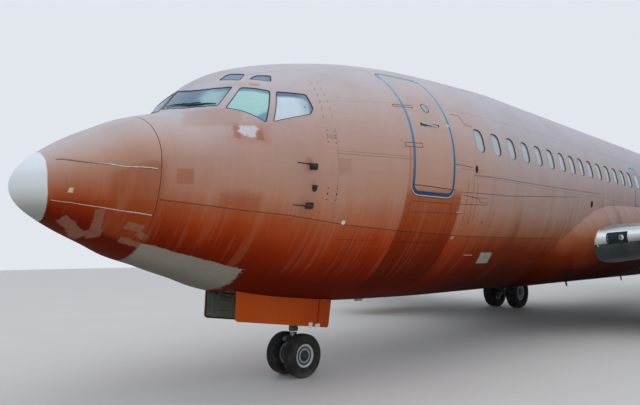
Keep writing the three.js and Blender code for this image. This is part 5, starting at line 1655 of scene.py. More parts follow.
def make_landing_lights(props):
    """The landing light in each wing's nose: a dark box, a ribbed lens, a clear cover and its frame, and
    the cuff that closes the joint between the wing and the fairing."""
    low, high, depth = LIGHT_NOTCH
    for name, side in SIDES:
        sheets = Sheets()
        spans = np.linspace(low + 0.006, high - 0.006, 8)[:, None]
        level = np.linspace(-0.94, 0.94, 7)
        # The box's back wall is painted shade.
        face = [wing_nose(spans + 0 * level, at, level, side, 0.003) for at in (depth - 0.003, depth - 0.001)]
        sheets.grid(np.concatenate([face[0], face[1][::-1]]), ring=False, loop=True, mark=0)
        share = np.concatenate([np.ones(8), -np.ones(8)])
        back = np.concatenate([np.linspace(1, 0, 8) ** 2, np.linspace(0, 1, 8) ** 2]) * (depth - 0.001)
        cover = [wing_nose(spans + 0 * back, np.maximum(back, inset), share, side, inset)
                 for inset in (0.001, 0.005)]
        sheets.grid(np.concatenate([cover[0], cover[1][::-1]]), loop=True, mark=3)
        edge = []
        for span, run in ((low, slice(None)), (high, slice(None, None, -1))):
            edge.append(wing_nose(span + 0 * back, back, share, side)[run])
        add_tube(sheets, np.concatenate(edge), 0.011, 8, loop=True, mark=1)
        leading, _, height, _ = at_span(WING_SECTIONS, LAMP_SPAN)
        lamp_at = spot(leading + depth - 0.002, side * LAMP_SPAN, height)
        for mark, profile in (
            (1, [(0, 0.01), (0.002, 0.058), (0.010, 0.070), (0.024, 0.070), (0.024, 0.01)]),
            (2, [(0.022, 0.004), (0.022, 0.060), (0.028, 0.054), (0.033, 0.03), (0.034, 0.004)]),
        ):
            add_turned(sheets, profile, lamp_at, (-1, 0, 0), 32, mark=mark)
        sheets.piece("landing_light_unit_" + name,
                     [painted_hole_shade(), rubber_seal(), lamp_glass(), light_cover()],
                     node="landing_light_" + name, slot="flight_deck_glass")
        cuff = Sheets()
        along = np.concatenate([[0.10, 0.03], np.linspace(0, 1, 22) ** 1.6 * 1.9])
        share = np.concatenate([[-1, -1], np.ones(22)])
        add_tube(cuff, wing_nose(np.full(24, 1.94), along, share, side),
                 props.cuff_radius * np.linspace(1, 0.65, 24), 10)
        cuff.piece("wing_root_cuff_" + name, rough_paint("cuff_pink", 224, 198, 190, 40))


@finish
def light_cover():
    """A thin dark teal cover, clear enough to show the lamp."""
    f = Finish("light_cover")
    speck = f.noise(f.place(), 40.0, 4.0, 0.6)
    return f.set(Base_Color=f.mix(speck, tone(24, 52, 60), tone(50, 84, 92)), Roughness=0.12 + speck * 0.15,
                 Alpha=0.16 + speck * 0.1, Specular_IOR_Level=0.4)


def fairing(along, around, side, grow=0.0):
    """Points of the fairing: ellipses whose sizes follow its table. around runs as on the hull."""
    half, top, bottom = at_span(FAIRING_SECTIONS, along)
    angle = np.asarray(around) / LOBE_RADIUS
    middle, reach = (top + bottom) / 2, (top - bottom) / 2
    across, up = np.cos(angle), np.sin(angle)
    return np.stack([along + NOSE_X + 0 * up, side * (half + grow) * across,
                     middle + (reach + grow) * up + LOBE_Z], -1)


def well_outline(half):
    """The wheel well's round edge from its plan, as stations and arc lengths on a lower half section."""
    station, across = oval(WELL[:2], WELL[2], WELL[2], 56).T
    return np.stack([station, -np.arccos(across / half(station)) * LOBE_RADIUS], -1)


def make_fairing():
    """The wing-body fairing with the round holes of the wheel wells, and the wells' walls and roofs."""
    sheets = Sheets()
    stations = np.linspace(9.2, 18.9, 82)
    edge = well_outline(lambda s: at_span(FAIRING_SECTIONS, s)[0])
    for side in (PORT, STARBOARD):
        add_skin(sheets, stations, rows_between(-QUARTER, 0.5, 49), [edge], side, fairing)
    sheets.piece("wing_body_fairing_skin", hull_paint(), node="wing_body_fairing", closed=False,
                 slot="fuselage_paint")
    walls = Sheets()
    turn = full_turn(len(edge))
    for side in (PORT, STARBOARD):
        rim = fairing(edge[:, 0], edge[:, 1], side)
        roof = rim.copy()
        roof[:, 2] = WELL[3] + LOBE_Z
        share = np.linspace(0, 1, 5)[:, None, None]
        wall = rim + share * (roof - rim)
        outer = wall + 0.012 * np.stack([np.cos(turn), side * np.sin(turn), 0 * turn], -1)
        walls.grid(np.concatenate([wall, outer[::-1]]), ring=True, loop=True)
        centre = spot(WELL[0], side * WELL[1], WELL[3])
        add_turned(walls, [(-0.001, 0.02), (-0.001, WELL[2] + 0.01), (0.012, WELL[2] + 0.01), (0.012, 0.02)],
                   centre, (0, 0, 1), 56, loop=True)
        for angle in np.radians([20, 65, 110, 155]):
            reach = 0.55 * np.array([math.cos(angle), math.sin(angle), 0])
            add_rod(walls, centre - reach - [0, 0, 0.03], centre + reach - [0, 0, 0.03], 0.022, 10)
    walls.piece("main_wheel_wells", bay_primer())


# Engines

# An engine's lip: station, distance across and height of its centre.
ENGINE_AXIS = (10.4, 4.83, -1.69)
NACELLE_LENGTH = 3.3
# Nacelle sections: distance aft of the lip, reach up and down, half width and drop of the centre.
NACELLE_OUTER = np.array([
    (0, 0.80, 0.79, 0.815, 0), (0.06, 0.86, 0.835, 0.89, 0), (0.35, 0.94, 0.87, 0.99, 0),
    (1.1, 0.985, 0.885, 1.05, 0), (1.9, 0.86, 0.88, 1.03, 0.06), (2.5, 0.70, 0.83, 0.94, 0.12),
    (NACELLE_LENGTH, 0.585, 0.67, 0.74, 0.16),
])
NACELLE_INNER = np.array([
    (0, 0.80, 0.79, 0.815, 0), (0.06, 0.745, 0.745, 0.76, 0), (0.7, 0.765, 0.765, 0.765, 0),
    (1.9, 0.765, 0.765, 0.765, 0), (2.5, 0.655, 0.72, 0.76, 0.12), (NACELLE_LENGTH, 0.555, 0.64, 0.705, 0.16),
])


def nacelle_rings(table, along, side, count, grow=0.0):
    """Rings of a nacelle: half ellipses above and below its centre, whose sizes run smoothly through
    the table's rows along the square root of the distance, so that the lip is round."""
    root = np.sqrt(along)
    up, down, half, drop = [monotone(root, np.sqrt(table[:, 0]), table[:, i]) for i in (1, 2, 3, 4)]
    turn = full_turn(count)
    reach = np.where(np.sin(turn) > 0, up[:, None], down[:, None]) + grow
    return spot(
        ENGINE_AXIS[0] + along[:, None], side * ENGINE_AXIS[1] + (half[:, None] + grow) * np.cos(turn),
        ENGINE_AXIS[2] - drop[:, None] + reach * np.sin(turn))


def make_engines(props):
    """Nacelles with polished lips, fans with a spinner, guide vanes, the hot nozzle and the plug."""
    for name, side in SIDES:
        sheets = Sheets()
        outer = np.linspace(0, 1, 60) ** 1.8 * NACELLE_LENGTH
        inner = np.linspace(0, 1, 50) ** 1.8 * NACELLE_LENGTH
        rings = nacelle_rings(NACELLE_OUTER, outer, side, 96)
        duct = nacelle_rings(NACELLE_INNER, inner[::-1], side, 96)
        sheets.grid(rings, ring=True)
        sheets.grid(np.concatenate([rings[-1:], duct]), ring=True, mark=1)
        for angle in np.radians([25, 155]):
            centre = spot(ENGINE_AXIS[0] + 0.95, side * ENGINE_AXIS[1] + 1.02 * math.cos(angle),
                          ENGINE_AXIS[2] + 0.965 * math.sin(angle))
            run = np.linspace(-0.55, 0.55, 20)
            rise = 0.07 * np.sqrt(np.maximum(1 - (run / 0.56) ** 2, 0)) * np.linspace(0.55, 1, 20)
            out = np.array([0, math.cos(angle), math.sin(angle)])
            path = centre + np.stack([run, 0 * run, 0 * run], -1) + 0.35 * rise[:, None] * out - 0.03 * out
            add_tube(sheets, path, 0.012, 8)
        sheets.piece("nacelle_skin_" + name, [nacelle_paint(), duct_lining()], node="nacelle_" + name,
                     slot="engine_metal")

        hub = spot(ENGINE_AXIS[0], side * ENGINE_AXIS[1], ENGINE_AXIS[2])
        fan = Sheets()
        spinner = [(0.64, 0.004), (0.655, 0.03), (0.70, 0.075), (0.78, 0.142), (0.88, 0.202), (0.95, 0.238),
                   (1.0, 0.262), (1.15, 0.262), (1.15, 0.004)]
        add_turned(fan, spinner, hub, (1, 0, 0), 48, mark=1)
        add_spun(fan, fan_blade(), hub, props.fan_blades)
        fan.piece("fan_blades_" + name, [blade_metal(), spinner_paint()], "fan_" + name, "fan_" + name,
                  slot="engine_metal")

        core = Sheets()
        nozzle = [(1.2, 0.004), (1.2, 0.50), (1.32, 0.52), (2.3, 0.50), (NACELLE_LENGTH, 0.37), (3.96, 0.333),
                  (4.0, 0.325), (3.99, 0.31), (3.9, 0.302), (3.6, 0.30), (3.6, 0.004)]
        plug = [(3.61, 0.004), (3.61, 0.22), (3.9, 0.24), (4.1, 0.21), (4.35, 0.13), (4.55, 0.062),
                (4.6, 0.03), (4.6, 0.004)]
        add_turned(core, nozzle, hub, (1, 0, 0), 64)
        add_turned(core, plug, hub, (1, 0, 0), 48, mark=1)
        add_spun(core, guide_vane(), hub, props.guide_vanes, mark=2)
        core.piece("engine_core_skin_" + name, [hot_metal("nozzle"), hot_metal("plug"), blade_metal()],
                   "airframe", "engine_core_" + name, slot="engine_metal")


def add_spun(sheets, blade, hub, count, mark=0):
    """Copies of a blade, turned about the engine's axis by even steps."""
    for turn in full_turn(count):
        across, up = math.cos(turn), math.sin(turn)
        spin = np.array([[1, 0, 0], [0, across, -up], [0, up, across]])
        sheets.grid(hub + blade @ spin.T, ring=True, caps=True, mark=mark)


def fan_blade():
    """One fan blade on top of the hub: thin lens sections that twist from steep at the root to flat at
    the tip and widen outwards."""
    out = np.linspace(0, 1, 9)
    radius = 0.245 + (0.745 - 0.245) * out
    pitch = np.radians(62 - 34 * out)
    chord = 0.105 + 0.055 * out
    share = np.linspace(-0.5, 0.5, 9)
    thick = 0.018 * (1 - 0.72 * out[:, None]) * (1 - (2 * share) ** 2) / 2 + 0.0006
    bow = 0.10 * chord[:, None] * (1 - (2 * share) ** 2)
    ring_share = np.concatenate([share, share[::-1][1:-1]])
    offset = np.concatenate([bow + thick, (bow - thick)[:, ::-1][:, 1:-1]], 1)
    along = ring_share * chord[:, None]
    x = 1.075 + along * np.sin(pitch)[:, None] - offset * np.cos(pitch)[:, None]
    y = along * np.cos(pitch)[:, None] + offset * np.sin(pitch)[:, None]
    return np.stack([x, y, radius[:, None] + 0 * x], -1)


def guide_vane():
    """One guide vane behind the fan, from the core's wall to the duct's: a thin lens, nearly straight."""
    out = np.linspace(0, 1, 5)
    radius = 0.50 + 0.256 * out
    share = np.linspace(-0.5, 0.5, 7)
    thick = 0.006 * (1 - (2 * share) ** 2) + 0.0006
    ring_share = np.concatenate([share, share[::-1][1:-1]])
    offset = np.concatenate([thick, -thick[::-1][1:-1]])
    x = 1.26 + 0.10 * ring_share + 0 * out[:, None]
    y = offset + 0.02 * (0.5 - ring_share) ** 2 + 0 * out[:, None]
    return np.stack([x, y, radius[:, None] + 0 * x], -1)


# A pylon seen from the side, as stations and heights: the top, then the foot from the rear.
PYLON_OUTLINE = np.array([
    (11.55, -0.80), (11.95, -0.68), (12.90, -0.77), (13.30, -0.90), (15.20, -0.95),
    (15.30, -1.15), (14.30, -1.29), (11.70, -1.29),
])


def make_pylons():
    """Pylons: upright slices whose top and bottom follow the outline, narrowed to a wedge at both ends."""
    for name, side in SIDES:
        stations = np.linspace(11.56, 15.29, 60)
        top = np.interp(stations, *PYLON_OUTLINE[:5].T)
        low_line = PYLON_OUTLINE[[7, 6, 5]]
        bottom = np.interp(stations, *low_line.T)
        bottom = np.minimum(bottom, top - 0.02)
        ends = np.sqrt(np.clip(1 - ((stations - 13.4) / 1.92) ** 6, 0.02, 1))
        turn = full_turn(28)
        lift = np.sign(np.sin(turn)) * np.abs(np.sin(turn)) ** 0.45
        wide = np.sign(np.cos(turn)) * np.abs(np.cos(turn)) ** 0.45
        middle, half = (top + bottom) / 2, (top - bottom) / 2
        points = spot(stations[:, None], side * ENGINE_AXIS[1] + 0.13 * ends[:, None] * wide,
                      middle[:, None] + half[:, None] * lift)
        sheets = Sheets()
        sheets.grid(points, ring=True, caps=True)
        sheets.piece("pylon_skin_" + name, nacelle_paint(), node="pylon_" + name, slot="fuselage_paint")


# Landing gear

TYRE_CREASE = 32
# Station, tyre radius and width, distance of each wheel from the leg, rim radius.
NOSE_GEAR = (3.79, 0.305, 0.19, 0.185, 0.165)
MAIN_GEAR = (15.17, 0.508, 0.35, 0.38, 0.262)
# Distance of each main leg from the keel line.
MAIN_TRACK = 2.615


def tyre_profile(radius, width, rim, grooves):
    """A tyre's section from bead to bead, as distances across and radii: bulged side walls and a tread
    with grooves cut straight in."""
    half = width / 2
    knots = np.array([(0.66, 0), (0.80, 0.06), (0.92, 0.18), (0.99, 0.36), (1.0, 0.5), (0.97, 0.68),
                      (0.90, 0.82), (0.80, 0.915), (0.66, 0.972)])
    wall = np.stack([knots[:, 0] * half, rim + knots[:, 1] * (radius - rim)], -1)
    tread_half = 0.66 * half
    spots = np.linspace(-tread_half, tread_half, grooves + 2)[1:-1]
    rows = []
    for place in spots[::-1]:
        rows += [(place + 0.0045, 0), (place + 0.003, 0.008), (place - 0.003, 0.008), (place - 0.0045, 0)]
    rows = np.array(rows)
    reach = radius - 0.028 * (radius - rim) * (rows[:, 0] / tread_half) ** 2
    tread = np.stack([rows[:, 0], reach - rows[:, 1]], -1)
    return np.concatenate([wall, tread, wall[::-1] * [-1, 1]])


def add_tyre(sheets, centre, radius, width, rim, grooves, sides):
    """One tyre turned about an axle across the aircraft."""
    profile = tyre_profile(radius, width, rim, grooves)
    add_turned(sheets, profile, centre, (0, 1, 0), sides, loop=True)


def add_wheel(sheets, centre, outward, width, rim, holes, sides=64):
    """One wheel: a flanged rim, a dished web with round holes and a hub with a cap."""
    at = width * 0.33
    profile = [
        (at - 0.012, rim - 0.028), (at - 0.004, rim - 0.020), (at, rim - 0.008), (at - 0.003, rim - 0.001),
        (at - 0.016, rim - 0.0005), (-at, rim - 0.0005), (-at, rim - 0.020), (-at + 0.02, rim - 0.030),
        (at - 0.045, rim - 0.036), (at - 0.052, rim * 0.76), (at - 0.036, rim * 0.56),
        (at - 0.030, rim * 0.42), (at - 0.030, rim * 0.36), (at - 0.005, rim * 0.34),
        (at + 0.002, rim * 0.28), (at + 0.002, rim * 0.10), (at - 0.004, rim * 0.04),
        (at - 0.08, rim * 0.03), (at - 0.09, rim * 0.03),
    ]
    axis = np.array([0, outward, 0])
    add_turned(sheets, profile, centre, axis, sides, mark=0)
    cup = [(at - 0.052, rim * 0.005), (at - 0.052, rim * 0.085), (at - 0.036, rim * 0.092),
           (at - 0.034, rim * 0.105), (at - 0.044, rim * 0.118)]
    for turn in full_turn(holes) + 0.2:
        spot_at = centre + np.array([math.cos(turn) * rim * 0.66, 0, math.sin(turn) * rim * 0.66])
        # The floor of each hole in the web is painted shade.
        add_turned(sheets, cup[:2], spot_at + axis * 0.006, axis, 14, mark=1)
        add_turned(sheets, cup[1:] + [(at - 0.056, rim * 0.118)], spot_at, axis, 14, mark=0)
    bolt = [(at - 0.034, 0.001), (at - 0.034, 0.008), (at - 0.022, 0.008), (at - 0.020, 0.001)]
    for turn in full_turn(6):
        bolt_at = centre + np.array([math.cos(turn) * rim * 0.39, 0, math.sin(turn) * rim * 0.39])
        add_turned(sheets, bolt, bolt_at, axis, 6, mark=2)


def make_nose_gear(props):
    """The nose leg and its brace, the steered tube with its torque links, wheels, tyres, lamp and doors."""
    station, radius, width, track, rim = NOSE_GEAR
    axle = radius - LOBE_Z
    steel, chrome = shaded_gear_paint(), shaded_chrome()
    leg = Sheets()
    casing = [(0, 0.02), (0, 0.064), (0.02, 0.068), (0.05, 0.068), (0.06, 0.062), (0.20, 0.064),
              (0.29, 0.086), (0.36, 0.086), (0.37, 0.078), (1.30, 0.078), (1.33, 0.02)]
    add_turned(leg, casing, spot(station, 0, -2.48), (0, 0, 1), 40)
    add_pin(leg, station, -1.30, 0, 0.27, 0.06, 28)
    add_rod(leg, spot(station, 0, -2.05), spot(station - 1.0, 0, -1.2), 0.040, 24)
    for share in (0.16, 0.52, 0.86):
        middle = spot(station, 0, -2.05) * (1 - share) + spot(station - 1.0, 0, -1.2) * share
        run = np.array([-1.0, 0, 0.85]) / 1.312
        add_rod(leg, middle - run * 0.03, middle + run * 0.03, 0.052, 24)
    corners = block(station - 1.06, station - 0.94, -0.27, 0.27, 0.02)
    add_plate(leg, corners, -1.225, -1.135, seen_from_above, 0.01)
    collar = block(station - 0.095, station + 0.095, -0.088, 0.088, 0.05)
    add_plate(leg, collar, -2.385, -2.30, seen_from_above, 0.012)
    for side in (PORT, STARBOARD):
        add_rod(leg, spot(station - 0.10, side * 0.085, -2.36), spot(station + 0.04, side * 0.10, -2.36),
                0.030, 20)
        add_rod(leg, spot(station - 0.13, side * 0.085, -2.36), spot(station - 0.05, side * 0.086, -2.36),
                0.014, 14)
    leg.piece("nose_leg", steel, node="nose_gear_leg", slot="gear_steel")

    lamp = Sheets()
    lamp_at = spot(station - 0.085, 0, -2.20)
    housing = [(0, 0.012), (0.004, 0.05), (0.03, 0.066), (0.052, 0.070), (0.058, 0.066), (0.054, 0.060),
               (0.045, 0.052), (0.045, 0.004)]
    lens = [(0.046, 0.003), (0.046, 0.058), (0.054, 0.05), (0.058, 0.003)]
    for mark, profile in enumerate((housing, lens)):
        add_turned(lamp, profile, lamp_at, (-1, 0, -0.03), 32, mark=mark)
    lamp.piece("nose_taxi_lamp", [steel, lamp_glass()])

    hoses = Sheets()
    for side, lead in ((PORT, 0.05), (STARBOARD, 0.03)):
        t = np.linspace(0, 1, 24)
        path = np.stack([station + 0.07 + lead * np.sin(t * math.pi),
                         side * (0.055 + 0.03 * np.sin(t * math.pi)),
                         -2.42 + 0.95 * t], -1)
        add_tube(hoses, spot(*path.T), props.hose_radius * 0.8, 10)
    hoses.piece("nose_leg_hoses", rubber_seal())

    fork = Sheets()
    add_rod(fork, spot(station, 0, -2.50), spot(station, 0, axle + 0.05), 0.052, 36, mark=1)
    hub = block(station - 0.065, station + 0.065, -0.075, 0.075, 0.04)
    add_plate(fork, hub, axle + 0.045, axle + 0.075, seen_from_above, 0.008)
    cheek = block(station - 0.065, station + 0.065, axle - 0.07, axle + 0.07, 0.045)
    for side in (PORT, STARBOARD):
        add_plate(fork, cheek, *mirrored(side, 0.039, 0.075), seen_from_side, 0.008)
    add_pin(fork, station, axle, 0, 0.076, 0.058, 32)
    link_top, link_foot = (station + 0.07, -2.565), (station + 0.07, axle)
    link_knee = (station + 0.205, -2.64)
    for (x1, z1), (x2, z2) in ((link_top, link_knee), (link_knee, link_foot)):
        for side in (PORT, STARBOARD):
            add_rod(fork, spot(x1, side * 0.038, z1), spot(x2, side * 0.016, z2), 0.011, 12)
        add_pin(fork, (x1 + x2) / 2, (z1 + z2) / 2, 0, 0.024, 0.009, 10)
    for x, z, half in ((*link_top, 0.045), (*link_knee, 0.03), (*link_foot, 0.045)):
        add_pin(fork, x, z, 0, half, 0.015, 16)
    bracket = rounded([(station - 0.19, -2.605), (station - 0.04, -2.60), (station - 0.04, -2.545),
                       (station - 0.17, -2.545)], 0.01)
    add_plate(fork, bracket, -0.028, 0.028, seen_from_side, 0.005)
    add_pin(fork, station - 0.155, -2.588, 0, 0.040, 0.018, 18, bevel=0.004)
    tow = rounded([(station - 0.185, axle - 0.03), (station - 0.05, axle - 0.035),
                   (station - 0.05, axle + 0.035), (station - 0.185, axle + 0.03)], 0.02)
    add_plate(fork, tow, -0.035, 0.035, seen_from_side, 0.008)
    fork.piece("nose_fork", [steel, chrome], "nose_steering", "nose_gear_fork", slot="gear_steel")

    wheels = Sheets()
    add_pin(wheels, station, axle, 0, 0.24, 0.030, 28, mark=2)
    for name, side in SIDES:
        centre = spot(station, side * track, axle)
        add_wheel(wheels, centre, side, width, rim, 9)
        disc = [(-0.062, 0.033), (-0.062, 0.15), (-0.058, 0.158), (-0.05, 0.164), (0.0, 0.1645), (0.0, 0.033)]
        add_turned(wheels, disc, centre, (0, side, 0), 48, loop=True)
        tyre = Sheets()
        add_tyre(tyre, centre, radius, width, rim, props.nose_grooves, 96)
        tyre.piece("nose_tyre_tread_" + name, tyre_rubber(), "nose_wheels", "nose_tyre_" + name,
                   crease=TYRE_CREASE, slot="tyre_rubber")
    wheels.piece("nose_wheel_pair", [wheel_alloy(station, axle, rim), painted_hole_shade(), steel], "nose_wheels",
                 "nose_wheels", slot="wheel_metal")
    make_nose_doors()
    make_nose_bay()


# Nose gear doors: the stations of their ends, the heights of the lower edge there, distance across.
NOSE_DOOR_ENDS, NOSE_DOOR_FOOT, NOSE_DOOR_ACROSS = (2.53, 4.215), (-2.21, -2.44), 0.35


def on_nose_door(station, height, across):
    """A place on a nose gear door, whose lower edge is set forward."""
    return spot(station + 0.20 * np.minimum(height + 2.08, 0), across, height)


def make_nose_doors():
    """The two doors that hang open beside the bay: an outer skin, an inner pan with ribs, a seal round
    the edge and hinge arms."""
    for name, side in SIDES:
        start, end = NOSE_DOOR_ENDS
        stations = np.linspace(start, end, 30)
        top = belly_height(stations, NOSE_DOOR_ACROSS) - 0.006
        bottom = np.interp(stations, NOSE_DOOR_ENDS, NOSE_DOOR_FOOT)
        corners = np.concatenate([np.stack([stations, bottom], -1), np.stack([stations, top], -1)[::-1]])
        corners[0] += (0.03, 0.0)
        corners[29] += (-0.03, 0.0)
        corners = np.insert(corners, 30, (end, bottom[-1] + 0.03), 0)
        corners = np.insert(corners, 0, (start, bottom[0] + 0.03), 0)
        skin, pan, seal = Sheets(), Sheets(), Sheets()
        add_plate(skin, corners, *mirrored(side, 0.354, 0.365), on_nose_door, 0.003)
        skin.piece("nose_gear_door_skin_" + name, gear_door_paint(name), node="nose_gear_door_" + name,
                   slot="fuselage_paint")
        add_plate(pan, widened(corners, -0.022), *mirrored(side, 0.344, 0.3535), on_nose_door, 0.003)
        for share in (0.07, 0.26, 0.45, 0.64, 0.83, 0.95):
            at = start + share * (end - start)
            upper = belly_height(at, NOSE_DOOR_ACROSS) - 0.03
            lower = np.interp(at, NOSE_DOOR_ENDS, NOSE_DOOR_FOOT) + 0.035
            rib = block(at - 0.018, at + 0.018, lower, upper, 0.008, 0.2, 4)
            add_plate(pan, rib, *mirrored(side, 0.3365, 0.3445), on_nose_door, 0.003)
        for share in (0.33, 0.70):
            level = top * (1 - share) + bottom * share
            path = on_nose_door(stations[1:-1], level[1:-1], side * 0.3415)
            add_tube(pan, path, 0.006, 8)
        for at in (2.75, 3.35, 3.98):
            foot = belly_height(at, NOSE_DOOR_ACROSS)
            arm = rounded([(at - 0.03, foot - 0.16), (at + 0.03, foot - 0.16), (at + 0.022, foot - 0.012),
                           (at - 0.022, foot - 0.012)], 0.012, 0.2, 4)
            add_plate(pan, arm, *mirrored(side, 0.3362, 0.3441), on_nose_door, 0.002)
        pan.piece("nose_gear_door_pan_" + name, bay_primer())
        ring = widened(corners, -0.010)
        add_tube(seal, on_nose_door(ring[:, 0], ring[:, 1], side * 0.3455), 0.0085, 8, loop=True)
        seal.piece("nose_gear_door_seal_" + name, rubber_seal())
    tags = Sheets()
    for left, right, low, high in ((3.81, 3.885, -2.405, -2.335), (3.94, 4.035, -2.415, -2.365)):
        add_plate(tags, block(left, right, low, high, 0.01, 0.2, 4),
                  -0.3665, -0.3648, on_nose_door, 0.0005)
    tags.piece("nose_gear_door_tags", rough_paint("tag_white", 214, 212, 208, 40))


def make_nose_bay():
    """The nose wheel bay's walls, roof and frames."""
    start, end, half, roof = NOSE_BAY
    bay = Sheets()
    stations = np.linspace(start, end, 24)
    for side in (PORT, STARBOARD):
        low = belly_height(stations, half)
        rows = np.stack([low, np.full(24, roof)])
        inner = spot(stations, side * (half - 0.001), rows)
        outer = spot(stations, side * (half + 0.010), rows)
        bay.grid(np.stack([inner[0], inner[1], outer[1], outer[0]], 0), ring=False, loop=True)
        for at in np.linspace(start + 0.12, end - 0.12, 7):
            foot = belly_height(at, half) + 0.02
            bar = block(at - 0.016, at + 0.016, foot, roof - 0.02, 0.006, 0.2, 3)
            add_plate(bay, bar, *mirrored(side, half - 0.020, half - 0.0005), seen_from_side, 0.002)
        pipe = spot(stations[1:-1], side * (half - 0.03), roof - 0.14)
        add_tube(bay, pipe, 0.010, 8)
    plan = block(start, end, -half, half, 0.01, 0.2, 3)
    add_plate(bay, plan, roof - 0.012, roof - 0.001, seen_from_above, 0.002)
    for at in (start + 0.006, end - 0.006):
        wall = block(-half, half, belly_height(at, 0.0) + 0.02, roof, 0.01, 0.2, 3)
        add_plate(bay, wall, at - 0.005, at + 0.005, seen_from_front, 0.002)
    bay.piece("nose_wheel_bay_lining", bay_primer())


def make_main_gear(props):
    """Main legs with their shock struts, torque links and side braces, wheel pairs, tyres, strut doors."""
    station, radius, width, spacing, rim = MAIN_GEAR
    axle = radius - LOBE_Z
    steel, chrome = shaded_gear_paint(), shaded_chrome()
    casing = [(0, 0.02), (0, 0.118), (0.02, 0.125), (0.08, 0.125), (0.10, 0.112), (0.40, 0.112),
              (0.42, 0.124), (0.50, 0.124), (0.52, 0.115), (0.95, 0.115), (0.95, 0.02)]
    for name, side in SIDES:
        y = side * MAIN_TRACK
        leg = Sheets()
        add_turned(leg, casing, spot(station, y, -2.25), (0, 0, 1), 44)
        add_rod(leg, spot(station, y, axle), spot(station, y, -2.25), 0.080, 36, mark=1)
        add_pin(leg, station, axle, y, 0.11, 0.105, 36)
        add_rod(leg, spot(station, y, -1.95), spot(station, side * 2.11, -1.40), 0.048, 24)
        knee = (station + 0.26, -2.33)
        for (x1, z1), (x2, z2) in (((station + 0.09, -2.15), knee), (knee, (station + 0.09, axle + 0.06))):
            for shift in (-0.05, 0.05):
                add_rod(leg, spot(x1, y + shift, z1), spot(x2, y + shift * 0.4, z2), 0.020, 14)
        for x, z, half in ((station + 0.10, -2.15, 0.07), (*knee, 0.045),
                           (station + 0.09, axle + 0.06, 0.07)):
            add_pin(leg, x, z, y, half, 0.026, 16)
        leg.piece("main_leg_" + name, [steel, chrome], node="main_gear_leg_" + name, slot="gear_steel")
        hoses = Sheets()
        t = np.linspace(0, 1, 26)
        for shift in (-0.05, 0.05):
            path = spot(station - 0.13 - 0.05 * np.sin(t * math.pi), y + shift,
                        axle + 0.14 + (1.05 - 0.14) * t)
            add_tube(hoses, path, props.hose_radius, 10)
        hoses.piece("main_leg_hoses_" + name, rubber_seal())
        wheels = Sheets()
        add_pin(wheels, station, axle, y, 0.46, 0.050, 30, mark=2)
        for place, outward in (("inner", -side), ("outer", side)):
            centre = spot(station, y + outward * spacing, axle)
            add_wheel(wheels, centre, outward, width, rim, 10)
            tyre = Sheets()
            add_tyre(tyre, centre, radius, width, rim, props.main_grooves, 96)
            tyre.piece(f"main_tyre_tread_{name}_{place}", tyre_rubber(), "main_wheels_" + name,
                       f"main_tyre_{name}_{place}", crease=TYRE_CREASE, slot="tyre_rubber")
        pair = "main_wheels_" + name
        wheels.piece("main_wheel_pair_" + name, [wheel_alloy(station, axle, rim), painted_hole_shade(), steel],
                     pair, pair, slot="wheel_metal")
        door, pan = Sheets(), Sheets()
        middle = y + side * 0.175
        corners = block(station - 0.31, station + 0.31, -2.20, -1.56, 0.05)
        near, far = sorted((middle + side * 0.002, middle + side * 0.012))
        add_plate(door, corners, near, far, seen_from_side, 0.003)
        door.piece("main_gear_door_skin_" + name, strut_door_paint(), node="main_gear_door_" + name,
                   slot="fuselage_paint")
        near, far = sorted((middle - side * 0.012, middle + side * 0.0015))
        add_plate(pan, widened(corners, -0.015), near, far, seen_from_side, 0.003)
        pan.piece("main_gear_door_pan_" + name, bay_primer())


# Finishes of wings, engines and gear

